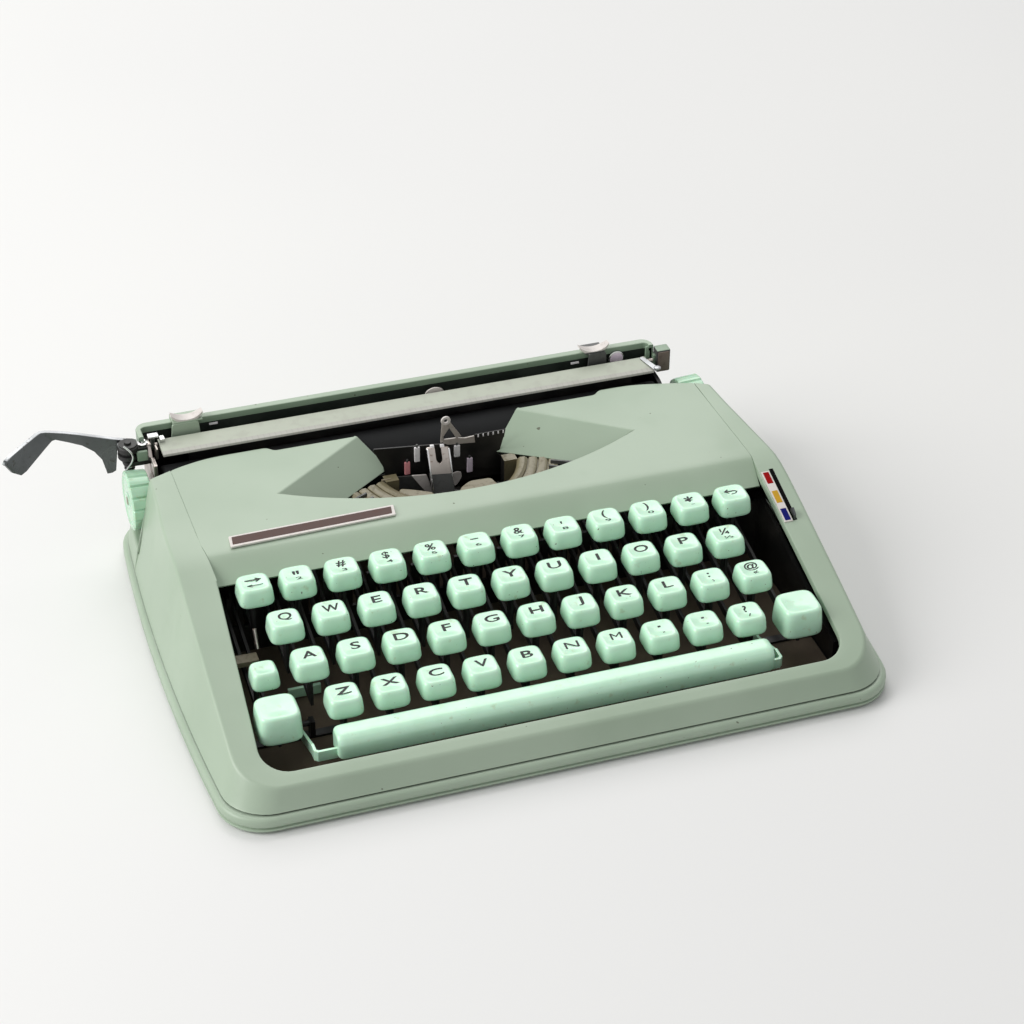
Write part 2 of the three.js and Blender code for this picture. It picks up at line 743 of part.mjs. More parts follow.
// The slotted half ring that carries the type bars, with the bars lying in it like a fan.
function typeBasket() {
  const steps = 16;
  const ring = [];
  const ringAngle = (share) => Math.PI + basketEndTurn + (Math.PI - 2 * basketEndTurn) * share;
  for (let step = 0; step <= steps; step++) {
    const angle = ringAngle(step / steps);
    ring.push([basketOuter * Math.cos(angle), basketCentreY + basketOuter * Math.sin(angle)]);
  }
  for (let step = steps; step >= 0; step--) {
    const angle = ringAngle(step / steps);
    ring.push([basketInner * Math.cos(angle), basketCentreY + basketInner * Math.sin(angle)]);
  }
  const top = basketZ + basketThick;
  const bars = [];
  for (let i = 0; i < typeBars; i++) {
    const angle = Math.PI * (1.2 + (0.6 * i) / (typeBars - 1));
    const bar = new THREE.BoxGeometry(basketOuter + barLength - basketInner - 4, 1.4, 3);
    bar.translate((basketOuter + barLength + basketInner) / 2 - 2, 0, 0).rotateZ(angle);
    bars.push(solid(bar.translate(0, basketCentreY, top + 1)));
  }
  const reach = basketOuter + barLength;
  const fieldTopZ = plateZ - coverSheet - 1;
  const field = block(-reach, reach, archFrontY - barReach, basketCentreY - barRoot, basketZ, fieldTopZ);
  const foot = (px) => block(px - 3, px + 3, basketFootY - basketFootReach, basketFootY, basketZ, top);
  const feet = [foot(-basketPostX), foot(basketPostX)];
  return join(alongZ(ring, basketZ, top), ...feet, ...bars.map((bar) => bar.intersect(field)));
}

function ribbonGuide() {
  const outline = [
    [-guideStemHalf, guideStemZ],
    [guideStemHalf, guideStemZ],
    [guideStemHalf, guideShoulderZ],
    [guideHalf, guideShoulderZ + 4],
    [guideHalf, guideTopZ],
    [guideNotchHalf, guideTopZ],
    [guideNotchHalf, guideTopZ - guideNotchDepth],
    [-guideNotchHalf, guideTopZ - guideNotchDepth],
    [-guideNotchHalf, guideTopZ],
    [-guideHalf, guideTopZ],
    [-guideHalf, guideShoulderZ + 4],
    [-guideStemHalf, guideShoulderZ],
  ];
  return alongY(outline, basketFootY + gap, basketFootY + gap + guideThick);
}

function ribbonSelector() {
  const rise = (y, up) => [y, surfaceZ(y) + up];
  const rear = selectorY + selectorLength;
  const outline = [
    rise(selectorY, -selectorFoot),
    rise(rear, -selectorFoot),
    rise(rear, selectorRise),
    rise(selectorY, selectorRise),
  ];
  return alongX(outline, selectorX - selectorThick / 2, selectorX + selectorThick / 2);
}

// ---- Carriage ----

function endPlate(x) {
  const outline = [
    [platenY - 6, panTopZ - panThick],
    [tableRearY, panTopZ - panThick],
    [tableRearY, bailZ],
    [bailPivotY + bailEyeRadius, bailZ + 1.5],
    [bailPivotY - bailEyeRadius, bailZ + 1.5],
    [platenY + 4, platenZ + platenShaftRadius + 4],
    [platenY - 6, platenZ + platenShaftRadius + 2],
  ];
  const bore = rodX(x - 1, x + endPlateThick + 1, platenY, platenZ, boreRadius(platenShaftRadius, 12), 12);
  return alongX(outline, x, x + endPlateThick).subtract(bore);
}

function carriageFrame() {
  const left = carriageLeftX;
  const right = carriageRightX - endPlateThick;
  const pan = block(left, right + 1, platenY - 6, tableRearY, panTopZ - panThick, panTopZ);
  const table = block(left, right + 1, tableRearY - tableSheet, tableRearY, panTopZ - 1, tableTopZ);
  const bar = block(left, right + endPlateThick, tableY, tableRearY, tableTopZ - tableBarHeight, tableTopZ);
  const rail = railWidth / 2 + gap;
  const truckBottom = railBottomZ + 1;
  const truck = block(truckLeftX, truckRightX, railY - rail - truckWall, railY + rail + truckWall, truckBottom, panTopZ - 1);
  const groove = block(truckLeftX - 1, truckRightX + 1, railY - rail, railY + rail, truckBottom - 1, railTopZ + gap);
  const pivotStub = (x0, x1) => rodX(x0, x1, bailPivotY, bailZ - bailThick / 2, bailPinRadius, 8);
  const inLeft = left + endPlateThick;
  const bracketY = leverPinY - hubRadius;
  const bracket = block(leverPinX - 3, left + 1, bracketY, tableRearY, bracketZ - bracketThick, bracketZ);
  const blockRear = tableRearY - endBlockDepth / 2;
  const blockX = carriageRightX + endBlockReach;
  const endBlock = block(right + 1, blockX, blockRear - endBlockDepth, blockRear, endBlockZ, tableTopZ - 1);
  const pin = rodZ(leverPinX, leverPinY, bracketZ - bracketThick, bracketZ + hubHeight + 1, leverPinRadius);
  return join(
    endPlate(left),
    endPlate(right),
    pan,
    table,
    bar,
    truck.subtract(groove),
    pivotStub(inLeft - 1, inLeft + bailLeftInset + 3),
    pivotStub(right - bailRightInset - 3, right + 1),
    endBlock,
    bracket,
    pin,
  );
}

function platen() {
  const leftInner = carriageLeftX + endPlateThick;
  const rightInner = carriageRightX - endPlateThick;
  const clear = 3.5;
  const roller = rodX(leftInner + clear, rightInner - clear, platenY, platenZ, platenRadius, 20);
  const leftKnob = carriageLeftX - knobGap;
  const rightKnob = carriageRightX + rightKnobGap;
  return join(
    roller,
    rodX(leftKnob - 1, rightKnob + 1, platenY, platenZ, platenShaftRadius, 12),
    rodX(leftKnob - knobWidth, leftKnob, platenY, platenZ, knobRadius, 18),
    rodX(rightKnob, rightKnob + knobWidth, platenY, platenZ, rightKnobRadius, 18),
  );
}

function paperBail() {
  const left = carriageLeftX + endPlateThick + gap + bailLeftInset;
  const right = carriageRightX - endPlateThick - gap - bailRightInset;
  const middle = bailZ - bailThick / 2;
  const strip = block(left, right, bailRearY - bailDepth, bailRearY, bailZ - bailThick, bailZ);
  const eye = (x0) => rodX(x0, x0 + 1.8, bailPivotY, middle, bailEyeRadius);
  const tie = (x0) => block(x0, x0 + 1.8, bailRearY - 1, bailPivotY, bailZ - bailThick, bailZ);
  const bore = rodX(left - 1, right + 1, bailPivotY, middle, boreRadius(bailPinRadius, 8), 8);
  const ends = [left, right - 1.8].map((x0) => join(eye(x0), tie(x0)).subtract(bore));
  return join(strip, ...ends);
}

// A stop that straddles the paper table's top bar, with a finger grip on top.
function marginStop() {
  const front = tableY - gap - stopSheet;
  const rear = tableRearY + gap + stopSheet;
  const top = tableTopZ + gap + stopSheet;
  const saddle = block(-stopHalf, stopHalf, front, rear, tableTopZ - tableBarHeight, top);
  const bar = block(-stopHalf - 1, stopHalf + 1, tableY - gap, tableRearY + gap, 0, tableTopZ + gap);
  const grip = alongX(
    [
      [front + 1, top - 0.5],
      [rear - 2, top - 0.5],
      [rear, top + stopGripHeight],
      [rear - 1.4, top + stopGripHeight],
    ],
    -stopHalf,
    stopHalf,
  );
  return join(saddle.subtract(bar), grip);
}

// Built about its pin: hub, an arm that stands on edge with a web below it, and a folded finger tab.
function returnLever() {
  const hubBottom = bracketZ + gap;
  const armTop = hubBottom + hubHeight;
  const hub = rodZ(0, 0, hubBottom, armTop, hubRadius);
  const bendTop = armTop + armRise;
  const root = 1.5 - hubRadius;
  const outline = [
    [root, armTop],
    [-armReach, bendTop],
    [-armReach, bendTop - armEndHeight],
    [-webReach - 3 * webWidth, armTop - 1],
    [-webReach - webWidth, webBottomZ],
    [-webReach, webBottomZ],
    [-webReach, armTop - armRootHeight],
    [root, armTop - armRootHeight],
  ];
  const arm = alongY(outline, -armThick / 2, armThick / 2).rotate([0, 0, -armTurn]);
  const turn = THREE.MathUtils.degToRad(armTurn);
  const start = [(1 - armReach) * Math.cos(turn), (armReach - 1) * Math.sin(turn)];
  const tip = [start[0] - tabReachX, start[1] - tabReachY];
  const tabLength = Math.hypot(tabReachX, tabReachY);
  const edge = [(-tabReachY / tabLength) * (tabWidth / 2), (tabReachX / tabLength) * (tabWidth / 2)];
  const tabRing = ([x, y], z) => [
    [x - edge[0], y - edge[1], z - armThick],
    [x + edge[0], y + edge[1], z - armThick],
    [x + edge[0], y + edge[1], z],
    [x - edge[0], y - edge[1], z],
  ];
  const tab = loft([tabRing(start, bendTop), tabRing(tip, bendTop - tabDrop)]);
  const bore = rodZ(0, 0, 0, armTop + 1, boreRadius(leverPinRadius, 12));
  return join(hub, arm, tab).subtract(bore);
}

// ---- Assembly ----

const typewriter = new THREE.Group();
typewriter.position.y = -trayDepth / 2;

function place(name, piece, material, x = 0, y = 0, z = 0) {
  const mesh = meshOf(name, piece, material);
  mesh.position.set(x, y, z);
  typewriter.add(mesh);
}

place("base_tray", baseTray(), paint);
place("body_shell", bodyShell(), paint);
place("ribbon_cover", ribbonCover(), paint);
place("chassis", chassis(), blackSteel);
place("type_basket", typeBasket(), brass);
place("ribbon_guide", ribbonGuide(), chrome);
place("ribbon_selector", ribbonSelector(), chrome);
place("carriage_frame", carriageFrame(), blackSteel);
place("platen", platen(), rubber);
place("paper_bail", paperBail(), paint);
place("margin_stop_left", marginStop(), chrome, stopLeftX);
place("margin_stop_right", marginStop(), chrome, stopRightX);
place("return_lever", returnLever(), chrome, leverPinX, leverPinY);
place("space_bar", spaceBar(), mint);
place("shift_keys", shiftAssembly(), mint);
place("shift_lock_key", shiftLockKey(), mint, lockX);
for (const line of keyRows) {
  const key = rowKey(line.row);
  line.keys.forEach((name, i) => place("key_" + name, key, mint, keyX(line, i)));
}

export default typewriter;
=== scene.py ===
from math import cos, hypot, pi, radians, sin, sqrt

import bpy
from mathutils import Matrix, Vector


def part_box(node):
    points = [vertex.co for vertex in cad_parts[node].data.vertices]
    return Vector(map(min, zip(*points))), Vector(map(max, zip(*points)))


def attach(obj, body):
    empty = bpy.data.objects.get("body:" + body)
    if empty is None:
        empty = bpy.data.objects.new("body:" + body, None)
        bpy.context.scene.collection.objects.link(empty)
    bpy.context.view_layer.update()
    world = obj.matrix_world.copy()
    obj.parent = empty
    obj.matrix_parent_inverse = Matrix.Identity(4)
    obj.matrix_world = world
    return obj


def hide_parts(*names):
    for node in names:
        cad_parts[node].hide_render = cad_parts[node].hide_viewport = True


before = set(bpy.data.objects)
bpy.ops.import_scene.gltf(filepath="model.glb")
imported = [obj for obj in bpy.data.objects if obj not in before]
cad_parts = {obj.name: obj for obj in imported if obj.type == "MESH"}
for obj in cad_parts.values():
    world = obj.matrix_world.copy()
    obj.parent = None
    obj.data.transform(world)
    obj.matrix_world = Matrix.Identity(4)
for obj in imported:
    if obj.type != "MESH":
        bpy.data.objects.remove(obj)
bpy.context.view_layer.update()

# Lengths are millimetres: x to the right, y back from the tray's front edge, z up.
MM = 0.001
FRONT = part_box("base_tray")[0].y


def spot(x, y, z):
    """A place of the model, from millimetres."""
    return Vector((x * MM, FRONT + y * MM, z * MM))


def home(point):
    """A place of the model, in millimetres."""
    return point.x / MM, (point.y - FRONT) / MM, point.z / MM


def box_of(node):
    low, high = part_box(node)
    return home(low), home(high)


# ---- Camera ----

LENS, SENSOR = 90.715, 36  # millimetres; the turns are radians
YAW, PITCH, ROLL = 0.3315, 0.610015, 0.011935
EYE = (-277.935, -725.279, 665.87)


def set_camera():
    data = bpy.data.cameras.new("camera")
    data.lens = LENS
    data.sensor_width = SENSOR
    ahead = Vector((sin(YAW) * cos(PITCH), cos(YAW) * cos(PITCH), -sin(PITCH)))
    level = Vector((cos(YAW), -sin(YAW), 0))
    rise = level.cross(ahead)
    right = cos(ROLL) * level + sin(ROLL) * rise
    up = cos(ROLL) * rise - sin(ROLL) * level
    turn = Matrix((right, up, -ahead)).transposed().to_4x4()
    camera = bpy.data.objects.new("camera", data)
    bpy.context.scene.collection.objects.link(camera)
    camera.matrix_world = Matrix.Translation(spot(*EYE)) @ turn
    bpy.context.scene.camera = camera


# ---- Shader sketching ----

MIX_SOCKETS = (0, 6, 7)  # a Mix node's factor and its two colours
MIX_COLOUR = 2


def tint(red, green, blue, light=1):
    """A colour given as it looks on a screen, from 0 to 255, and dimmed to a share of its light."""
    def linear(value):
        value /= 255
        return light * (value / 12.92 if value < 0.04045 else ((value + 0.055) / 1.055) ** 2.4)
    return (linear(red), linear(green), linear(blue), 1)


class Wire:
    """An output socket; arithmetic on it adds Math nodes."""

    def __init__(self, sketch, socket):
        self.sketch, self.socket = sketch, socket

    def math(self, operation, first, second):
        return self.sketch.node("Math", {0: first, 1: second}, operation=operation)

    def __add__(self, other):
        return self.math("ADD", self, other)

    def __sub__(self, other):
        return self.math("SUBTRACT", self, other)

    def __rsub__(self, other):
        return self.math("SUBTRACT", other, self)

    def __mul__(self, other):
        return self.math("MULTIPLY", self, other)

    __radd__, __rmul__ = __add__, __mul__


class Sketch:
    """A tree of nodes."""

    def __init__(self, tree):
        self.tree = tree

    def put(self, socket, value):
        if isinstance(value, Wire):
            self.tree.links.new(value.socket, socket)
        else:
            socket.default_value = value

    def node(self, kind, sockets=(), out=0, **settings):
        made = self.tree.nodes.new("ShaderNode" + kind)
        for name, value in settings.items():
            setattr(made, name, value)
        for key, value in dict(sockets).items():
            self.put(made.inputs[key], value)
        return Wire(self, made.outputs[out])


class Finish(Sketch):
    """One material and the nodes that make it; its colours are three numbers for tint, or wires."""

    def __init__(self, name, colour, roughness, **fixed):
        self.material = bpy.data.materials.new(name)
        self.material.use_nodes = True
        super().__init__(self.material.node_tree)
        self.shader = self.tree.nodes["Principled BSDF"]
        self.place = self.node("TexCoord", out="Object")
        self.feed(Base_Color=tint(*colour), Roughness=roughness, **fixed)

    def feed(self, **sockets):
        for name, value in sockets.items():
            self.put(self.shader.inputs[name.replace("_", " ")], value)

    def noise(self, scale, detail, stretch=None):
        place = self.place
        if stretch:
            place = self.node("Mapping", {"Vector": place, "Scale": stretch})
        return self.node("TexNoise", {"Vector": place, "Scale": scale, "Detail": detail})

    def step(self, value, low, high):
        sockets = {"Value": value, "From Min": low, "From Max": high}
        return self.node("MapRange", sockets, interpolation_type="SMOOTHSTEP")

    def patches(self, scale, detail, low, high):
        """Where noise passes low, and in full where it passes high."""
        return self.step(self.noise(scale, detail), low, high)

    def mix(self, factor, *colours):
        colours = [one if isinstance(one, Wire) else tint(*one) for one in colours]
        return self.node("Mix", zip(MIX_SOCKETS, (factor, *colours)), out=MIX_COLOUR, data_type="RGBA")

    def along(self, axis):
        return self.node("SeparateXYZ", {0: self.place}, out=axis)

    def bump(self, height, distance, strength):
        sockets = {"Height": height, "Distance": distance * MM, "Strength": strength}
        self.feed(Normal=self.node("Bump", sockets))


# ---- Finishes ----


def make_enamel(name, colour, dull):
    """Worn stove enamel: faint mottling, orange peel, dust and small dark chips."""
    gloss = 0.44
    paint = Finish(name, colour, gloss, Coat_Weight=0.2, Coat_Roughness=0.22)
    chips = paint.patches(300, 1, 0.795, 0.81)
    smudge = paint.patches(38, 5, 0.52, 0.75)
    body = paint.mix(paint.patches(14, 3, 0.35, 0.68), colour, dull)
    body = paint.mix(smudge * 0.3, body, dull)
    body = paint.mix(chips * 0.75, body, (72, 66, 50))
    paint.feed(Base_Color=body, Roughness=gloss + 0.12 * smudge + 0.25 * chips)
    paint.bump(paint.noise(420, 2) * 0.5 - chips, 0.06, 0.6)
    return paint.material


def make_mint(name, colour, dull):
    """Moulded plastic, glossy, with patches of brown grime."""
    plastic = Finish(name, colour, 0.22, Coat_Weight=0.3, Coat_Roughness=0.08, Specular_IOR_Level=0.5)
    plastic.feed(Subsurface_Weight=0.08, Subsurface_Scale=0.002)
    grime = plastic.patches(260, 4, 0.62, 0.72)
    body = plastic.mix(plastic.patches(160, 3, 0.35, 0.7) * 0.45, colour, dull)
    body = plastic.mix(grime * 0.35, body, (150, 165, 110))
    body = plastic.mix(plastic.patches(620, 2, 0.745, 0.77) * 0.8, body, (84, 72, 40))
    plastic.feed(Base_Color=body, Roughness=0.2 + 0.2 * grime)
    plastic.bump(plastic.noise(300, 2), 0.08, 0.35)
    return plastic.material


def make_metal(name, colour, rust, gloss, worn):
    """Plated steel with smudges, brushing and spots of rust."""
    metal = Finish(name, colour, gloss, Metallic=1)
    cloud = metal.patches(90, 4, 0.35, 0.75)
    spots = metal.patches(520, 3, 0.62, 0.7)
    body = metal.mix(cloud * 0.35, colour, (*colour, 0.6))
    metal.feed(
        Base_Color=metal.mix(spots * worn, body, rust),
        Roughness=gloss + 0.16 * cloud + 0.3 * spots,
        Metallic=1 - spots * worn,
    )
    metal.bump(metal.noise(700, 2, (1, 0.15, 1)), 0.04, 0.4)
    return metal.material


def make_black(name, colour, dust, gloss, shine=0.5):
    """Blackened steel or rubber with dust lying on it."""
    black = Finish(name, colour, gloss, Specular_IOR_Level=shine)
    film = black.patches(70, 5, 0.42, 0.78)
    body = black.mix(film * 0.55, colour, dust)
    body = black.mix(black.patches(900, 2, 0.66, 0.72) * 0.35, body, dust)
    black.feed(Base_Color=body, Roughness=gloss + 0.25 * film)
    black.bump(black.noise(800, 2), 0.05, 0.4)
    return black.material


def make_plain(name, colour, dull, gloss, shine=0.5):
    """Printed or lacquered colour with slight wear."""
    lacquer = Finish(name, colour, gloss, Specular_IOR_Level=shine)
    wear = lacquer.patches(500, 4, 0.5, 0.72)
    lacquer.feed(Base_Color=lacquer.mix(wear * 0.5, colour, dull), Roughness=gloss + 0.2 * wear)
    lacquer.bump(lacquer.noise(900, 1), 0.03, 0.3)
    return lacquer.material


def make_scale(name, colour, bare):
    """The bail's enamel, with a bare front band that carries fine marks every tenth of an inch."""
    paint = Finish(name, colour, 0.5)
    band = 1 - paint.step(paint.along("Y"), FRONT + 193.6 * MM, FRONT + 194.2 * MM)
    phase = paint.node("Math", {0: paint.along("X"), 1: 2.54 * MM}, operation="FLOORED_MODULO")
    marks = 1 - paint.step(phase, 0.35 * MM, 0.55 * MM)
    worn = paint.patches(240, 4, 0.5, 0.66)
    body = paint.mix(band, paint.mix(worn * 0.3, colour, bare), bare)
    body = paint.mix(band * marks * 0.14, body, (110, 108, 104))
    paint.feed(Base_Color=body, Roughness=0.48 + 0.15 * worn)
    paint.bump(paint.noise(420, 2), 0.04, 0.4)
    return paint.material


ENAMEL = make_enamel("enamel", (162, 179, 159), (152, 170, 149))
# A darker copy of the enamel for the carriage's parts: painted shade, since the carriage stands in shadow.
SHADED_ENAMEL = make_enamel("shaded_enamel", (134, 156, 134), (116, 138, 116))
SCALE_ENAMEL = make_scale("scale_enamel", (176, 182, 167), (172, 172, 164))
MINT = make_mint("mint_plastic", (202, 243, 216), (190, 235, 204))
KNOB_MINT = make_mint("knob_mint", (176, 216, 186), (160, 200, 170))
INK = make_plain("ink", (10, 13, 13), (22, 28, 26), 0.55)
CHROME = make_metal("chrome", (214, 214, 214), (120, 92, 66), 0.14, 0.3)
DARK_CHROME = make_metal("dark_chrome", (92, 95, 95), (60, 50, 40), 0.24, 0.4)
STEEL = make_metal("steel_rim", (168, 170, 172), (110, 90, 70), 0.32, 0.3)
NICKEL = make_metal("nickel", (186, 178, 172), (124, 84, 60), 0.3, 0.6)
BRASS = make_plain("brass", (116, 108, 82), (78, 69, 48), 0.38, 0.7)
BLACK = make_black("black_steel", (16, 16, 16), (46, 42, 36), 0.42)
WELL = make_black("well_black", (24, 23, 21), (60, 54, 46), 0.65)
PAN_BROWN = make_black("pan_brown", (88, 77, 65), (112, 100, 84), 0.8, 0.3)
LEVER_BLACK = make_black("lever_black", (15, 15, 15), (38, 34, 29), 0.6)
RUBBER = make_black("rubber", (34, 35, 36), (44, 44, 44), 0.75, 0.15)
PLATE_BROWN = make_plain("plate_brown", (86, 67, 63), (102, 80, 75), 0.55, 0.2)
SILVER = make_plain("silver_lacquer", (212, 206, 202), (186, 180, 174), 0.35)
WHITE = make_plain("white_lacquer", (248, 246, 247), (226, 220, 223), 0.4)
PEWTER = make_plain("pewter", (168, 161, 154), (132, 123, 114), 0.35, 0.8)
# Near-black for the selector's slot: painted shade for the opening.
SLOT_SHADE = make_plain("slot_shade", (4, 4, 4), (8, 8, 8), 0.95, 0.1)
TAPE = make_plain("end_tape", (120, 106, 98), (96, 84, 76), 0.6, 0.3)
PINK = make_plain("pink_lacquer", (238, 158, 162), (226, 176, 178), 0.4)
LILAC = make_plain("lilac_lacquer", (248, 232, 248), (240, 230, 242), 0.4)
RED = make_plain("red_lacquer", (148, 6, 10), (132, 12, 14), 0.8, 0.12)
OCHRE = make_plain("ochre_lacquer", (198, 154, 46), (184, 148, 60), 0.8, 0.15)
BLUE = make_plain("blue_lacquer", (20, 24, 104), (26, 32, 98), 0.8, 0.12)
TAN = make_plain("tan_steel", (128, 118, 98), (96, 84, 66), 0.5)
# Dark green for the inside of the carriage's frame: painted shade.
TROUGH_SHADE = make_black("trough_shade", (22, 30, 24), (44, 54, 44), 0.5)
SLATE = make_plain("slate_steel", (74, 75, 74), (58, 58, 56), 0.4)


# ---- Bench tools ----


def lone(piece):
    bpy.ops.object.select_all(action="DESELECT")
    piece.select_set(True)
    bpy.context.view_layer.objects.active = piece


def blank(name, make, **settings):
    bpy.ops.object.select_all(action="DESELECT")
    make(**settings)
    piece = bpy.context.object
    piece.name = piece.data.name = name
    bpy.ops.object.transform_apply(location=True, rotation=True, scale=True)
    return piece


def flat(name, corners):
    """One face with the given corners."""
    piece = blank(name, bpy.ops.mesh.primitive_circle_add, vertices=len(corners), fill_type="NGON")
    for vertex, corner in zip(piece.data.vertices, corners):
        vertex.co = corner
    return piece


def work(piece, kind, test, *steps):
    """Selects the points, edges or faces that pass the test and runs edit-mode steps on them."""
    lone(piece)
    bpy.ops.object.mode_set(mode="EDIT")
    bpy.ops.mesh.select_mode(type=kind)
    bpy.ops.mesh.select_all(action="DESELECT")
    bpy.ops.object.mode_set(mode="OBJECT")
    mesh = piece.data
    for part in {"VERT": mesh.vertices, "EDGE": mesh.edges, "FACE": mesh.polygons}[kind]:
        part.select = bool(test(part))
    bpy.ops.object.mode_set(mode="EDIT")
    for step in steps:
        step()
    bpy.ops.object.mode_set(mode="OBJECT")


def every(part):
    return True


def middle(piece, edge):
    a, b = (piece.data.vertices[v].co for v in edge.vertices)
    return Vector(home((a + b) / 2))


def face_outwards():
    bpy.ops.mesh.select_all(action="SELECT")
    bpy.ops.mesh.normals_make_consistent(inside=False)


def face_up(sheet):
    if sheet.data.polygons[0].normal.z < 0:
        work(sheet, "FACE", every, bpy.ops.mesh.flip_normals)


def score(piece, place, across):
    """Divides a piece's faces along a plane."""
    work(piece, "FACE", every, lambda: bpy.ops.mesh.bisect(plane_co=spot(*place), plane_no=across))


def finish_with(piece, kind, **settings):
    lone(piece)
    modifier = piece.modifiers.new(kind, kind)
    for name, value in settings.items():
        setattr(modifier, name, value)
    bpy.ops.object.modifier_apply(modifier=modifier.name)
    return piece


def ease(piece, width, angle=32, segments=2):
    """Breaks the piece's sharp edges."""
    return finish_with(
        piece, "BEVEL", width=width * MM, segments=segments, limit_method="ANGLE",
        angle_limit=radians(angle), harden_normals=False,
    )


def thicken(piece, depth, even=True):
    return finish_with(piece, "SOLIDIFY", thickness=depth * MM, offset=-1, use_even_offset=even)


def dress(piece, finish, *others):
    """Gives the whole piece a finish; others are (finish, test) for some of its faces."""
    piece.data.materials.clear()
    for one in (finish, *(other for other, _ in others)):
        piece.data.materials.append(one)
    for face in piece.data.polygons:
        face.material_index = 0
        for index, (_, test) in enumerate(others, 1):
            if test(Vector(home(face.center)), face.normal):
                face.material_index = index
    return piece


def gather(name, *parts):
    lone(parts[0])
    for part in parts[1:]:
        part.select_set(True)
    if len(parts) > 1:
        bpy.ops.object.join()
    parts[0].name = parts[0].data.name = name
    return parts[0]


def fit(piece, body, slot, *nodes, smooth=32):
    """Puts a finished piece on its body, with its broad faces shaded flat."""
    lone(piece)
    bpy.ops.object.shade_smooth_by_angle(angle=radians(smooth))
    finish_with(piece, "WEIGHTED_NORMAL", keep_sharp=True)
    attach(piece, body)
    if nodes:
        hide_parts(*nodes)


def cut(name, outline, low, high, across="Z", edge=0):
    """A flat piece cut to an outline and given its thickness from low to high."""
    def put(level, a, b):
        return {"X": spot(level, a, b), "Y": spot(a, level, b), "Z": spot(a, b, level)}[across]
    piece = flat(name, [put(low, a, b) for a, b in outline])
    lift = put(high, 0, 0) - put(low, 0, 0)
    work(
        piece, "FACE", every,
        lambda: bpy.ops.mesh.extrude_region_move(TRANSFORM_OT_translate={"value": lift}),
        face_outwards,
    )
    return ease(piece, edge) if edge else piece


def cuts(across, *rows):
    """Dressed flat pieces; a row is name, finish, outline, low, high, edge."""
    return [dress(cut(name, outline, low, high, across, edge), finish)
            for name, finish, outline, low, high, edge in rows]


def block(name, low, high, edge):
    x0, y0, z0 = low
    x1, y1, z1 = high
    return cut(name, [(x0, y0), (x1, y0), (x1, y1), (x0, y1)], z0, z1, edge=edge)


def blocks(*rows):
    """Dressed blocks; a row is name, finish, low corner, high corner, edge."""
    return [dress(block(name, low, high, edge), finish) for name, finish, low, high, edge in rows]


def skin(name, rings, closed=True, caps=True):
    """A surface laid through rows of points, from a grid whose ends are sewn together."""
    columns = len(rings[0]) + closed
    piece = blank(
        name, bpy.ops.mesh.primitive_grid_add,
        x_subdivisions=columns - 1, y_subdivisions=len(rings) - 1,
    )
    for row, ring in enumerate(rings):
        for column in range(columns):
            piece.data.vertices[row * columns + column].co = spot(*ring[column % len(ring)])
    steps = [lambda: bpy.ops.mesh.remove_doubles(threshold=2e-6)]
    if closed and caps:
        steps += [lambda: bpy.ops.mesh.fill_holes(sides=0), face_outwards]
    work(piece, "VERT", every, *steps)
    return piece


def soften(outline, radius, steps=4):
    """Rounds the corners of a flat outline, all by one radius or each by its own."""
    count = len(outline)
    radii = [radius] * count if isinstance(radius, (int, float)) else radius
    points = []
    for i, (corner, r) in enumerate(zip(outline, radii)):
        if r <= 0:
            points.append(corner)
            continue
        here = Vector(corner)
        before, after = Vector(outline[i - 1]) - here, Vector(outline[(i + 1) % count]) - here
        a = here + before.normalized() * min(r, 0.48 * before.length)
        b = here + after.normalized() * min(r, 0.48 * after.length)
        for k in range(steps + 1):
            t = k / steps
            points.append(tuple((1 - t) ** 2 * a + 2 * t * (1 - t) * here + t * t * b))
    return points


def turned(name, profile, centre, axis="X", sides=48, groove=None):
    """A turned piece: profile holds (along, radius) from one end to the other."""
    x, y, z = centre
    rings = []
    for along, radius in profile:
        ring = []
        for k in range(sides):
            angle = 2 * pi * k / sides
            r = radius - (groove(k) if groove and radius > 0 else 0)
            u, v = r * cos(angle), r * sin(angle)
            ring.append({
                "X": (x + along, y + u, z + v),
                "Y": (x + u, y + along, z + v),
                "Z": (x + u, y + v, z + along),
            }[axis])
        rings.append(ring)
    return skin(name, rings)


def rod(name, start, end, radius, edge=0.25, sides=20):
    a, b = spot(*start), spot(*end)
    turn = (b - a).to_track_quat("Z", "Y").to_euler()
    piece = blank(
        name, bpy.ops.mesh.primitive_cylinder_add, vertices=sides, radius=radius * MM,
        depth=(b - a).length, location=(a + b) / 2, rotation=turn,
    )
    return ease(piece, edge)


def strand(name, path, radius, sides=8):
    """A wire along a path."""
    points = [Vector(p) for p in path]
    side = Vector((0.31, 0.47, 0.83))
    angles = [2 * pi * k / sides for k in range(sides)]
    rings = []
    for i, point in enumerate(points):
        ahead = (points[min(i + 1, len(points) - 1)] - points[max(i - 1, 0)]).normalized()
        side = (side - ahead * side.dot(ahead)).normalized()
        up = ahead.cross(side)
        rings.append([tuple(point + radius * (cos(a) * side + sin(a) * up)) for a in angles])
    return skin(name, rings)


def mirrored(outline):
    return [(-a, b) for a, b in reversed(outline)]


def between(value, stops):
    """Straight-line values between (place, value) stops."""
    for (a, first), (b, second) in zip(stops, stops[1:]):
        if value <= b:
            return first + (second - first) * max(0, value - a) / (b - a)
    return stops[-1][1]


# ---- Tray and casing ----

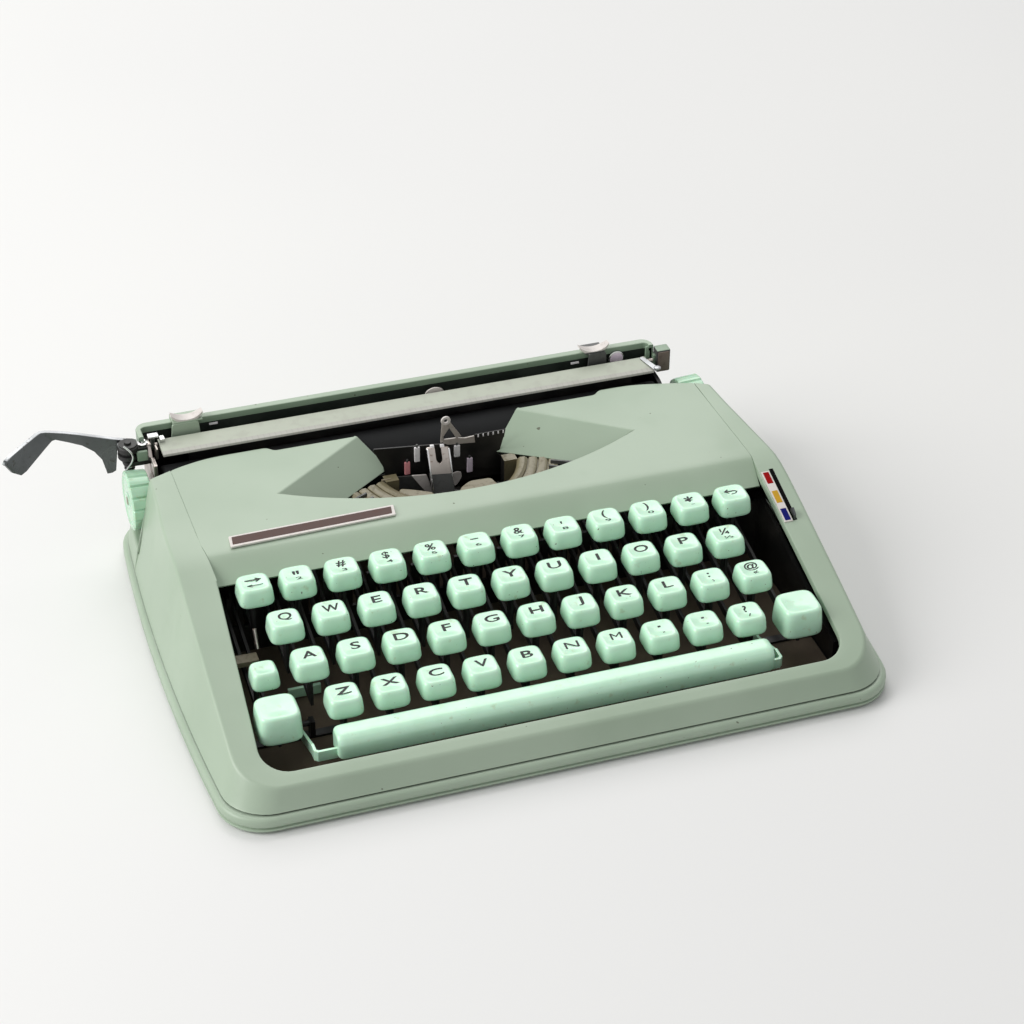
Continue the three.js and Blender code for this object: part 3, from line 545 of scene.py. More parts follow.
HALF, DEPTH, SWELL, CORNER = 139, 213, 5.5, 17
DECK, PLATE, FOLD = 18, 49, 117.7  # the low rear deck, the flat top and where the top starts to slope
SLOPE = 0.2982
CUT = 172.9  # the high part of the casing ends here
FOOT, LEDGE, LEAN = 7, 2.1, 10  # height of the wall's foot, and how far in foot and crown stand
ARC_STEPS, END_STEPS = 8, 16
SHOULDER = 1.4  # the rounding where the wall meets the top
CASING_WALL, COVER_SHEET, FLAP_SHEET = 1.4, 1.3, 1
BAND = [46, 54, 64, 76, 90, 104.7, 105, 112, 117.7, 124, 134, 146, 160, CUT, CUT + 0.15, 182, 188]
MOUTH_LEFT = [(24, 121.9), (104.8, 117.8), (105, 117.7), (117.7, 118.6), (126, 119.49), (200, 119.49)]
MOUTH_RIGHT = [(24, 121.9), (104.8, 120.7), (105, 120.6), (117.7, 121.38), (180, 119.56), (200, 119.56)]
RIDGE_LEFT = [(16, 132.7), (47, 133), (70, 133), (92, 132.9), (113, 132.7), (141, 132.2), (180, 128.7)]
RIDGE_RIGHT = [(16, 132.9), (47, 133.3), (92, 133.3), (103, 133.2), (113, 132.8), (129, 131), (145, 129.3),
               (180, 125.4)]
REAR_LEFT = [(34, 0), (40, 2.4), (42, 3.9), (44, 5.5), (46.2, 7.6), (48.2, 8.6)]


def swell(x, y):
    """The long sides bow outwards."""
    along = 2 * y / DEPTH - 1
    return x * (1 + SWELL / HALF * (1 - along * along))


def plan(half, front, rear, corner, sides, fan=None):
    """A closed outline, anticlockwise from the front edge, with points at given depths on its sides."""
    points = []
    run = half - corner
    centres = [(run, front + corner), (run, rear - corner), (-run, rear - corner), (-run, front + corner)]
    for quarter, (x, y) in enumerate(centres):
        if quarter in (0, 2):
            sign, level = (1, front) if quarter == 0 else (-1, rear)
            points += [(sign * (2 * run * k / END_STEPS - run), level) for k in range(1, END_STEPS)]
        for k in range(ARC_STEPS + 1):
            angle = (quarter - 1 + k / ARC_STEPS) * pi / 2
            points.append((x + corner * cos(angle), y + corner * sin(angle)))
        if quarter in (0, 2):
            side = [(fan(depth) if fan else half, depth) for depth in sides]
            points += side if quarter == 0 else mirrored(side)
    return points


def surface(y):
    """Height of the casing's sloping top."""
    ahead = FOLD - y
    return PLATE - SLOPE * (ahead + sqrt(ahead * ahead + 9)) / 2


def make_tray():
    sides = [DEPTH * (0.16 + 0.085 * k) for k in range(9)]
    profile = [
        (9, 0), (4.4, 0), (3.2, 0.1), (1.5, 0.35), (0.5, 0.7), (0.1, 1.15), (0, 1.6), (0.2, 2), (0.8, 2.2),
        (1.1, 2.4), (0.9, 2.65), (0.3, 2.95), (0, 3.6), (0, 4.8), (0.2, 5.7), (0.65, 6.35), (1.3, 6.75),
        (2.1, 6.9), (5.5, 6.9), (5.5, 6.1), (2.6, 5.6), (2, 4.5), (2, 2.6), (4, 1.3), (6, 1), (9, 1),
    ]
    rings = []
    for inset, z in profile:
        ring = plan(HALF - inset, inset, DEPTH - inset, CORNER - inset, sides)
        rings.append([(swell(x, y), y, z) for x, y in ring])

    def inside(at, up):
        inward = up.y * (DEPTH / 2 - at.y) - up.x * at.x
        return abs(up.z) < 0.7 and inward > 0 or up.z > 0.7 and at.z < 2 or up.z < -0.7 and at.z > 5

    fit(dress(skin("tray", rings), ENAMEL, (WELL, inside)), "base", "body_paint", "base_tray")


def rear_reach(x, z):
    """How far the high part of the casing runs back past the cut, under the knobs' sweep."""
    full = 6.5 + (128.3 - abs(x)) * 0.39 if x < 0 else 4.8 + (124.7 - x) * 0.53
    return min(max(full, 0), between(z, REAR_LEFT) + max(0, z - 46.2) * 1.6)


def casing_section(foot, crown, mouth):
    """The casing's line at one place: up the wall, round the shoulder and in to the edge of the mouth."""
    (fx, fy), (cx, cy), (mx, my) = foot, crown, mouth
    if my > 190:
        mx, my = max(-119.8, min(119.8, mx * 1.02)), 204
    elif mx > 100 and my > 29:
        mx = between(my, MOUTH_RIGHT)
    start, end = Vector((swell(fx, fy), fy, FOOT)), Vector((swell(cx, cy), cy, PLATE))
    low = fy > CUT + 0.1
    top = lambda y: DECK if low else surface(y)
    t = 0.3
    for _ in range(8):  # closes in on where the wall meets the top
        t = (top(start.y + t * (end.y - start.y)) - FOOT) / (PLATE - FOOT)
    shoulder = start + t * (end - start)
    if not low:
        ridge = between(shoulder.y, RIDGE_LEFT if shoulder.x < 0 else RIDGE_RIGHT)
        shoulder.x *= ridge / swell((1 - t) * (HALF - LEDGE) + t * (HALF - LEAN), shoulder.y)
    inner = Vector((mx, my, top(my)))
    up, across = shoulder - start, inner - shoulder
    a = shoulder - up.normalized() * min(SHOULDER, 0.4 * up.length)
    b = shoulder + across.normalized() * min(SHOULDER, 0.5 * across.length)
    level = across.normalized()
    outward = Vector((-level.x, -level.y, 0)).normalized()
    edge = min(0.9 if my < 104.9 else 0.14, 0.2 * (inner - b).length)
    drop = lambda depth: Vector((0, 0, depth))
    section = [start - 0.9 * outward + drop(0.2), start - 0.25 * outward + drop(0.7)]
    section += [start.lerp(a, share) for share in (0.16, 0.5, 0.8)]
    for k in range(ARC_STEPS):
        s = k / (ARC_STEPS - 1)
        section.append((1 - s) ** 2 * a + 2 * s * (1 - s) * shoulder + s * s * b)
    section += [b.lerp(inner, 0.5), inner - edge * level, inner - 0.28 * edge * level - drop(0.22 * edge)]
    section += [inner - drop(depth) for depth in (0.8, 2.4, 2.8)]
    if abs(fy - CUT) < 0.01:
        section = [point + Vector((0, rear_reach(point.x, point.z), 0)) for point in section]
    return section


def make_casing():
    foot = plan(HALF - LEDGE, LEDGE, DEPTH - LEDGE, CORNER, [26, 32, 39] + BAND)
    crown = plan(HALF - LEAN, 25, DEPTH - LEAN, 12.5, [43, 44, 45] + BAND)
    mouth = plan(121.9, 13.3, 204, 11.5, [30, 35, 40] + BAND, fan=lambda y: between(y, MOUTH_LEFT))
    casing = skin("casing", list(zip(*map(casing_section, foot, crown, mouth))), caps=False)
    thicken(casing, CASING_WALL, even=False)
    dress(casing, ENAMEL, (WELL, lambda at, up: up.z < -0.5))
    fit(casing, "base", "body_paint", "body_shell")


def make_floor_lining():
    """The dusty black pan under the keys."""
    outline = soften([(-122, 24), (122, 24), (122, 168), (-122, 168)], 4)
    fit(*cuts("Z", ("well_pan", PAN_BROWN, outline, 1.1, 2, 0.3)), "base", "black_steel")


# ---- Ribbon cover ----

ARCH_HALF, ARCH_TIP, ARCH_FRONT = 80.5, 152.5, 131
ARCH_STEPS = 28
APRON_SLOPE = 0.648
COVER_REAR = 184.5
FOLD_LINES = (108, 111, 113.5, 115, 116, 117, 117.8, 118.6, 119.6, 121, 124)


def arch_edge():
    sag = ARCH_TIP - ARCH_FRONT
    radius = (ARCH_HALF ** 2 + sag ** 2) / (2 * sag)
    across = [ARCH_HALF * (1 - 2 * k / ARCH_STEPS) for k in range(ARCH_STEPS + 1)]
    return [(x, ARCH_FRONT + radius - sqrt(radius ** 2 - x * x)) for x in across]


def cover_level(y):
    ahead = FOLD - y
    return PLATE - APRON_SLOPE * max(0, (ahead + sqrt(ahead * ahead + 5)) / 2 - 0.18)


def make_cover():
    right = soften(
        [(120.45, 105.4), (121.3, FOLD), (119.5, 180.3), (112.6, 182.6), (102.6, 185), (95.5, 186.6),
         (88, 187.5), (76.5, 187.5), (73.5, COVER_REAR), (36.7, COVER_REAR)],
        [0.5, 0, 0.8, 4, 4, 4, 6, 1.5, 1.5, 0],
    )
    left = soften(
        [(117.55, 105.4), (118.5, FOLD), (119.45, 126), (119.45, 182.7), (114.6, 184.6), (104.5, 187),
         (96, 187.6), (76.5, 187.6), (73.5, COVER_REAR), (36.7, COVER_REAR)],
        [0.5, 0, 0, 0.8, 4, 4, 4, 1.5, 1.5, 0],
    )
    cover = flat("cover", [spot(x, y, 0) for x, y in right + arch_edge() + mirrored(left)])
    for y in FOLD_LINES:
        score(cover, (0, y, 0), (0, 1, 0))
    for vertex in cover.data.vertices:
        vertex.co.z = cover_level(home(vertex.co)[1]) * MM
    work(
        cover, "EDGE", lambda edge: middle(cover, edge).y < 105.5,
        lambda: bpy.ops.mesh.extrude_edges_move(TRANSFORM_OT_translate={"value": (0, 0.3 * MM, -2.2 * MM)}),
    )
    work(cover, "FACE", every, face_outwards)
    face_up(cover)
    ease(cover, 0.45, angle=25, segments=3)
    thicken(cover, COVER_SHEET)
    ease(cover, 0.12, angle=60)
    sheet = gather("ribbon_cover_sheet", cover, make_flap(-1), make_flap(1))
    dress(sheet, ENAMEL, (WELL, lambda at, up: up.z < -0.6))
    fit(sheet, "ribbon_cover", "body_paint", "ribbon_cover", smooth=28)


def make_flap(side):
    """A wing of the cover folded down towards the type."""
    tip, rear = Vector((ARCH_HALF, ARCH_TIP, PLATE - 0.05)), Vector((36.7, COVER_REAR, PLATE - 0.05))
    low_tip = Vector((56.5, 150.8, 37.4))
    low_rear = Vector((25.8, 172.9, 37.4) if side < 0 else (21.8, 171.9, 37.4))
    bend = [(-0.06, 0), (0, 0), (0.03, 0.012), (0.06, 0.038), (0.09, 0.075), (0.4, 0.387), (0.7, 0.693),
            (1, 1)]
    rings = []
    for across, down in bend:
        row = []
        for k in range(9):
            a, b = tip.lerp(rear, k / 8), low_tip.lerp(low_rear, k / 8)
            point = a.lerp(b, across)
            row.append((side * point.x, point.y, a.z + (b.z - a.z) * down))
        rings.append(row)
    flap = skin("flap", rings, closed=False)
    face_up(flap)
    return ease(thicken(flap, FLAP_SHEET), 0.2, angle=60)


def make_nameplate():
    """A bare strip in a bright frame, on the cover's plate."""
    border = soften([(-108.4, 119.3), (-37.6, 121.2), (-36.6, 128.4), (-107.6, 127)], 0.5, 2)
    field = soften([(-107.2, 120.6), (-38.9, 122.3), (-38, 127.2), (-106.5, 125.9)], 0.3, 2)
    parts = cuts("Z", ("nameplate_frame", SILVER, border, PLATE + 0.05, PLATE + 1, 0.25),
                 ("nameplate_field", PLATE_BROWN, field, PLATE + 0.6, PLATE + 1.08, 0.05))
    fit(gather("nameplate", *parts), "ribbon_cover", "chrome")


# ---- Keys ----

FRONT_ROW, ROW_PITCH, ROW_RISE = 39.3, 19, 6
FRONT_CAP_TOP = 29.6
TAB_SHIFT = 1.2  # the tab key's cap stands this far right of its lever
ROWS = [
    (96.3, "tab 2 3 4 5 6 7 8 9 0 dash backspace"),
    (77.3, "q w e r t y u i o p half"),
    (58.3, "a s d f g h j k l colon at"),
    (FRONT_ROW, "z x c v b n m comma stop query"),
]
UPPER_SIGNS = {
    "2": '"', "3": "#", "4": "$", "5": "%", "6": "_", "7": "&", "8": "'", "9": "(", "0": ")", "dash": "*",
    "half": "¼", "colon": ":", "at": "@", "query": "?",
}
LOWER_SIGNS = {"dash": "-", "half": "½", "colon": ";", "at": "¢", "query": "/"}
NARROWER = {"a": 0.84, "q": 0.78, "w": 0.68, "m": 0.8, "o": 0.86, "v": 0.9}
ARROW = [((-3.2, 0), (2.9, 0)), ((3, 0), (1.2, 0.9)), ((3, 0), (1.2, -0.9))]
BACK_ARROW = [((-a, -b), (-c, -d)) for (a, b), (c, d) in ARROW]
RETURN_ARROW = [
    ((-2.6, 0.5), (1.6, 0.5)), ((1.6, 0.5), (2.6, -0.3)), ((2.6, -0.3), (1.8, -1.2)),
    ((1.8, -1.2), (0, -1.3)), ((-2.7, 0.5), (-1.1, 1.5)), ((-2.7, 0.5), (-1.1, -0.5)),
]
CAP_HEIGHT, BROW, DISH = 8.4, 2.1, 0.75
CAP_SIDES = 40
FULCRUM = (150, 32)
KNEE = (62, 14.3)
LEVER_FRONT = 12.5  # height of a lever under the front row
LEVER_HALF, STEM_HALF, EYE_RADIUS = 1.75, 2.5, 3.5  # half heights and widths of a lever, and its eye's radius
LEVER_SHEET = 0.6


def dish(x, y, half_x, half_y):
    """Depth of a cap's hollow at a place on its top."""
    u, v = min(1, abs(x) / half_x), min(1, abs(y) / half_y)
    return -DISH * ((1 - v * v) * (1 - 0.8 * u * u)) ** 1.5


def squircle(half_x, half_y, power):
    points = []
    for k in range(CAP_SIDES):
        angle = 2 * pi * (k + 0.5) / CAP_SIDES
        c, s = cos(angle), sin(angle)
        points.append((
            half_x * (1 if c > 0 else -1) * abs(c) ** (2 / power),
            half_y * (1 if s > 0 else -1) * abs(s) ** (2 / power),
        ))
    return points


def make_cap(name, half_x, half_y, height):
    """A moulded cap: a rounded foot, upright sides, a narrow brow and a hollow top."""
    steps = [
        (2.4, -height + 0.1, 3.6), (1.3, -height, 3.9), (0.5, -height + 0.3, 4.2), (0.12, -height + 0.9, 4.4),
        (0, -height + 1.9, 4.5), (0.14, -height * 0.6, 4.6), (0.34, -height * 0.38, 4.6),
        (0.55, -height * 0.2, 4.6), (0.75, -1.05, 4.5), (0.98, -0.55, 4.4), (1.32, -0.2, 4.3),
        (1.75, -0.03, 4.2), (BROW, 0, 4.1),
    ]
    top_x, top_y = half_x - BROW, half_y - BROW
    rings = []
    for inset, z, power in steps:
        rings.append([(x, y, z) for x, y in squircle(half_x - inset, half_y - inset, power)])
    for share in (0.93, 0.84, 0.72, 0.56, 0.38, 0.2, 0):
        ring = squircle(top_x * share, top_y * share, 4)
        rings.append([(x, y, dish(x, y, top_x, top_y)) for x, y in ring])
    return dress(skin(name, rings), MINT)


def copy_to(piece, name, x, y, z):
    """A copy with its own mesh, moved to its place."""
    twin = piece.copy()
    twin.data = piece.data.copy()
    bpy.context.scene.collection.objects.link(twin)
    twin.name = twin.data.name = name
    twin.data.transform(Matrix.Translation(Vector((x, y, z)) * MM))
    return twin


def ink_down(sign):
    """Lays a flat sign into a cap's hollow."""
    for vertex in sign.data.vertices:
        x, y = vertex.co.x, vertex.co.y
        vertex.co = (x, y, dish(x, y, 5.2, 5) + 0.05)
    sign.data.transform(Matrix.Scale(MM, 4))
    face_up(sign)
    return dress(sign, INK)


def lettering(sign, size, x, y, wide, tall=1, bold=0.012):
    """One sign as a flat mesh laid into a cap's hollow; x and y are from the cap's middle."""
    bpy.ops.object.select_all(action="DESELECT")
    bpy.ops.object.text_add()
    text = bpy.context.object.data
    text.body = sign
    text.size = size
    text.offset = bold * size
    text.resolution_u = 4
    bpy.ops.object.convert(target="MESH")
    letter = bpy.context.object
    across, along = ([v.co[axis] for v in letter.data.vertices] for axis in (0, 1))
    centre_x, centre_y = (min(across) + max(across)) / 2, (min(along) + max(along)) / 2
    for vertex in letter.data.vertices:
        vertex.co = ((vertex.co.x - centre_x) * wide + x, (vertex.co.y - centre_y) * tall + y, 0)
    return ink_down(letter)


def drawn(lines, x, y, thick):
    """Strokes drawn as thin bars, for arrows and points."""
    bars = []
    for (ax, ay), (bx, by) in lines:
        ahead = Vector((bx - ax, by - ay)).normalized() * thick / 2
        side = Vector((-ahead.y, ahead.x))
        start, end = Vector((ax + x, ay + y)) - ahead, Vector((bx + x, by + y)) + ahead
        corners = [start - side, end - side, end + side, start + side]
        bars.append(flat("stroke", [corner.to_3d() for corner in corners]))
    return ink_down(gather("strokes", *bars))


def legends(key):
    if key == "tab":
        return [drawn(ARROW, 0, 1.9, 0.55), drawn(BACK_ARROW, 0, -1.7, 0.4)]
    if key == "backspace":
        return [drawn(RETURN_ARROW, 0, 1.3, 0.5)]
    if key in ("comma", "stop"):
        return [drawn([((-0.2, 0), (0.2, 0))], 0.2, 1.9, 0.85),
                drawn([((-0.15, 0), (0.15, 0))], 0.8, -2.2, 0.6)]
    if key in UPPER_SIGNS:
        size, rise = (7.2, 1.7) if key in ("2", "dash") else (4.9, 2)
        return [lettering(UPPER_SIGNS[key], size, -0.1, rise, 1.3, bold=0.02),
                lettering(LOWER_SIGNS.get(key, key), 4.2, 0.4, -2.2, 1.35, 0.72)]
    wide, bold = 1.7 * NARROWER.get(key, 1), 0 if key in "mn" else 0.018
    return [lettering(key.upper(), 5.5, 0.4, 1.3, wide, bold=bold)]


def lever_level(y):
    if y > KNEE[0]:
        return KNEE[1] + (y - KNEE[0]) / (FULCRUM[0] - KNEE[0]) * (FULCRUM[1] - KNEE[1])
    return LEVER_FRONT + (y - FRONT_ROW) / (KNEE[0] - FRONT_ROW) * (KNEE[1] - LEVER_FRONT)


def make_lever(x, y, top):
    """The flat steel lever under a cap."""
    front, back, neck = y - STEM_HALF, y + STEM_HALF, FULCRUM[0] - 3.4
    knee = [KNEE[0]] if back < KNEE[0] else []
    under = [(at, lever_level(at) - LEVER_HALF) for at in [front, *knee, neck]]
    over = [(at, lever_level(at) + LEVER_HALF) for at in [neck, *knee, back]]
    turns = [-2.4 + 0.48 * k for k in range(11)]
    eye = [(FULCRUM[0] + EYE_RADIUS * cos(a), FULCRUM[1] + EYE_RADIUS * sin(a)) for a in turns]
    outline = under + eye + over + [(back, top), (front, top)]
    return dress(cut("lever", outline, x - LEVER_SHEET, x + LEVER_SHEET, "X"), LEVER_BLACK)


def make_keys():
    pattern = make_cap("cap_pattern", 7.3, 7.1, CAP_HEIGHT)
    for y, names in ROWS:
        z = FRONT_CAP_TOP + (y - FRONT_ROW) / ROW_PITCH * ROW_RISE
        for key in names.split():
            node = "key_" + key
            low, high = box_of(node)
            x = (low[0] + high[0]) / 2
            cap_x = x + (TAB_SHIFT if key == "tab" else 0)
            cap = copy_to(pattern, node, cap_x, y, z)
            signs = legends(key)
            for sign in signs:
                sign.data.transform(Matrix.Translation(spot(cap_x, y, z)))
            piece = gather(node + "_cap", cap, *signs, make_lever(x, y, z - CAP_HEIGHT + 2))
            fit(piece, node, "key_plastic", node, smooth=50)
    bpy.data.objects.remove(pattern)


def make_shift_keys():
    reach = 110.4
    pattern = make_cap("shift_pattern", 9, 8.7, 12.7)
    parts = [dress(rod("bar", (-reach, 158.5, 28), (reach, 158.5, 28), 1.45), LEVER_BLACK)]
    tail = [(150, 29.5), (157.5, 26.4), (159.5, 26.4), (159.5, 29.8), (150, 33.7)]
    for x in (-reach, reach):
        parts += [copy_to(pattern, "shift_cap", x, FRONT_ROW, 29), make_lever(x, FRONT_ROW, 19.6)]
        parts += cuts("X", ("tail", BLACK, tail, x - LEVER_SHEET, x + LEVER_SHEET, 0))
    fit(gather("shift_key_pair", *parts), "shift_keys", "key_plastic", "shift_keys", smooth=50)
    bpy.data.objects.remove(pattern)
    small = make_cap("lock_cap", 5.8, 5.8, 8)
    small.data.transform(Matrix.Translation(Vector((-110.7, 58.3, 34)) * MM))
    fit(gather("lock_key", small, make_lever(-114.2, 58.3, 28)), "shift_lock_key", "key_plastic",
        "shift_lock_key", smooth=50)


def make_space_bar():
    outline = [(18.4, 13.1), (28.3, 13.1), (28.6, 22.2), (27.6, 23.8), (20.8, 23.8), (18.3, 21.4)]
    section = soften(outline, [0.8, 0.8, 1, 1, 2, 2], 5)
    centre = Vector((23.4, 18.2))
    ends = [(0, 0.7), (0.3, 0.83), (1, 0.93), (2, 0.98), (3.4, 1)]
    rings = []
    for x, share in [(-91.5 + d, s) for d, s in ends] + [(92 - d, s) for d, s in reversed(ends)]:
        ring = [centre + (Vector(point) - centre) * share for point in section]
        rings.append([(x, at.x, at.y) for at in ring])
    parts = [dress(skin("space_bar_body", rings), MINT)]
    rear = [(26.6, 12.2), (43, 6.2), (49.5, 5.8), (51.8, 6.8), (52.6, 9.2), (51, 11), (44, 10.6), (26.6, 17)]
    for side, end, outer, front in ((-1, 91.5, 100.4, 21.6), (1, 92, 96.4, 20.4)):
        path = [(end - 1, front), (outer - 1.4, front), (outer, front + 1.4), (outer, 27.4),
                (outer - 1.2, 27.4), (outer - 1.2, front + 2), (outer - 2, front + 1.2),
                (end - 1, front + 1.2)]
        parts += cuts("Z", ("arm", MINT, [(side * x, y) for x, y in path], 12.2, 17, 0.15))
        parts += cuts("X", ("arm_end", MINT, rear, side * (outer - 1.2), side * outer, 0.15))
    fit(gather("space_bar_piece", *parts), "space_bar", "key_plastic", "space_bar", smooth=40)


# ---- Carriage ----

PLATEN = (188.5, 33.5)
CARRIAGE_LEFT, CARRIAGE_RIGHT = -129, 109.5
FRAME_REAR, FRAME_BEND, FRAME_LIP = 211.8, 5, 1.4
GROOVES = 7  # every seventh side of a knob is a groove
STOP_Y = 208.3  # the middle of a margin stop's grip


def make_platen():
    y, z = PLATEN
    profile = [(-121.4, 0), (-121.4, 11.6), (-120.8, 12.4), (-120, 12.5), (104, 12.5), (104.8, 12.4),
               (105.4, 11.6), (105.4, 0)]
    parts = [dress(turned("roller", profile, (0, y, z), sides=72), RUBBER),
             dress(rod("shaft", (-130, y, z), (116, y, z), 2.9, 0.3, 32), NICKEL)]
    groove = lambda k: 0.75 if k % GROOVES == 0 else 0.02 * abs(k % GROOVES - 3.5)
    profile = [(0, 0), (0, 11.6), (0.3, 12.3), (1, 12.6), (9.6, 13.1), (10.6, 13.15), (11.1, 12.7),
               (11.4, 11.8), (11.5, 10.9), (11.1, 10.3), (11, 4.2), (11.4, 3.4), (11.4, 0)]
    for x, share, reach in ((-128.5, 1, -0.83), (115.3, 0.95, 1)):
        scaled = [(a * reach, r * share) for a, r in profile]
        parts.append(dress(turned("knob", scaled, (x, y, z), sides=15 * GROOVES, groove=groove), KNOB_MINT))
        face = 11.3 * reach
        end = x + face + (0.3 if x > 0 else -0.3)
        parts.append(dress(rod("knob_screw", (x + face * 0.9, y, z), (end, y, z), 1.9, 0.3), BRASS))
    fit(gather("platen_roller", *parts), "platen", "platen_rubber", "platen", smooth=30)


def make_bail():
    profile = soften([(190.9, 51), (203.3, 51), (203.3, 52.4), (191.2, 52)], [0.1, 0.3, 0.4, 0.3], 2)
    rings = [[(x, y, z) for y, z in profile] for x in (-120.5, -119.9, 103.9, 104.5)]
    eye = soften([(199, 48.8), (204.4, 48.8), (204.4, 52.4), (199, 52)], 1.2)
    link = soften([(101.4, 202.2), (103.4, 202.8), (107.4, 190.6), (104.6, 189.4)], 0.7)
    pin = turned("link_pin", [(0, 1.6), (0.7, 1.6), (1, 1.1), (1, 0)], (105.9, 191, 52.9), "Z", 20)
    parts = [
        dress(skin("strip", rings), SCALE_ENAMEL),
        *cuts("X", *(("eye", NICKEL, eye, x, x + 1.7, 0.2) for x in (-120.5, 102.8))),
        *cuts("Z", ("link", STEEL, link, 52.42, 52.9, 0.2)),
        dress(pin, STEEL),
        *blocks(("bail_tab", CHROME, (-119.9, 200.4, 51.8), (-117.6, 203.8, 54), 0.4)),
    ]
    fit(gather("bail_strip", *parts), "paper_bail", "carriage_paint", "paper_bail")


def make_end_plates():
    long_end = soften([(182.5, 18.6), (210.1, 18.6), (210.1, 51), (204.6, 52.4), (200.6, 52.4), (192.5, 40.5),
                       (182.5, 38.5)], [1, 1, 2, 1.5, 1.5, 4, 3])
    short_end = soften([(182.5, 18.6), (210.1, 18.6), (210.1, 44), (196, 43.6), (189, 40.5), (182.5, 38.5)],
                       [1, 1, 1, 2, 3, 3])
    bush = [(0, 0), (0, 5.2), (0.5, 5.4), (1.4, 5.4), (1.6, 4.4), (1.6, 0)]
    parts = []
    for x, bush_x, outline, finish in ((-126, -127.6, long_end, NICKEL), (107.9, 109.8, short_end, BLACK)):
        parts += cuts("X", ("end_plate", finish, outline, x, x + 1.9, 0.25))
        parts.append(dress(turned("bush", bush, (bush_x, *PLATEN)), NICKEL))
    return parts


def make_carriage():
    parts = make_end_plates()
    # The back sheet and the frame's fittings take the darker copy of the enamel, which is painted shade.
    parts += blocks(("pan", BLACK, (-125, 182.5, 18.7), (108.5, 209, 20.1), 0.3),
                    ("back_sheet", SHADED_ENAMEL, (-124.6, 208.8, 19), (108.4, 210.2, 52), 0.3))
    dress(parts[-1], SHADED_ENAMEL, (BLACK, lambda at, up: up.y < -0.3))
    rear = [(204.4, 49.4), (203.4, 46), (202.2, 40), (200.5, 34), (199, 28)]
    outline = [(y, z + 0.02) for y, z in rear] + [(y - 0.9, z) for y, z in reversed(rear)]
    rings = [[(x, y, z) for y, z in outline] for x in (-107.5, -106.8, 97.3, 98)]
    parts.append(dress(skin("deflector", rings), BLACK))
    # The frame is painted with light and shade: its upward faces take the lighter enamel as painted light, its
    # inner faces take dark green as painted shade, and the rest takes the darker shaded enamel.
    hollow = lambda at, up: at.z < 53.8 and (up.y < -0.4 or abs(up.x) > 0.6 and -126 < at.x < 107.9)
    lit_top = lambda at, up: up.z > 0.75
    parts.append(dress(make_rear_frame(), SHADED_ENAMEL, (ENAMEL, lit_top), (TROUGH_SHADE, hollow)))
    # A black strip along the bottom of the frame's channel: painted shade.
    shade_strip = [(204.6, 46), (208.4, 46), (208.4, 47), (204.6, 47)]
    truck = [(194, 9), (196.4, 9), (196.4, 15.4), (200.8, 15.4), (200.8, 9), (203.1, 9), (203.1, 19),
             (194, 19)]
    parts += cuts("X", ("shade_strip", BLACK, shade_strip, -124, 107, 0.1), ("truck", NICKEL, truck, -20, 5, 0.2))
    for x0, x1 in ((-124.3, -120.8), (103.2, 108.2)):
        parts.append(dress(rod("bail_pin", (x0, 202.6, 50.3), (x1, 202.6, 50.3), 0.95, 0.1, 16), NICKEL))
    parts += make_lever_bracket() + make_carriage_fittings()
    fit(gather("carriage_frame_piece", *parts), "carriage", "carriage_paint", "carriage_frame")


def make_rear_frame():
    """The pressed frame round the back of the carriage, its ends turned forwards."""
    left, right, rear, r = CARRIAGE_LEFT, CARRIAGE_RIGHT, FRAME_REAR, FRAME_BEND
    turns = [pi / 2 * k / 6 for k in range(7)]
    path = [(right, 205.4 + (rear - r - 205.4) * k / 3, -1, 0) for k in range(3)]
    path += [(right - r + r * cos(a), rear - r + r * sin(a), -cos(a), -sin(a)) for a in turns]
    path += [(right - r + (left - right + 2 * r) * k / 12, rear, 0, -1) for k in range(1, 12)]
    path += [(left + r - r * sin(a), rear - r + r * cos(a), sin(a), -cos(a)) for a in turns]
    path += [(left, 200.5 + (rear - r - 200.5) * k / 4, 1, 0) for k in range(3, -1, -1)]
    rings = []
    for x, y, inward_x, inward_y in path:
        lip = FRAME_LIP * abs(inward_y)
        section = [(lip, 46), (lip, 54.4), (0.6 * lip, 54.9), (0, 55.4), (0, 56), (0.15, 56.4), (0.5, 56.7),
                   (1.9 + lip, 56.7), (2.2 + lip, 56.5), (2.3 + lip, 56.1), (2.3 + lip, 53.8),
                   (1.7 + lip, 53.6), (1.7 + lip, 46)]
        rings.append([(x + n * inward_x, y + n * inward_y, z) for n, z in section])
    return skin("rear_frame", rings)


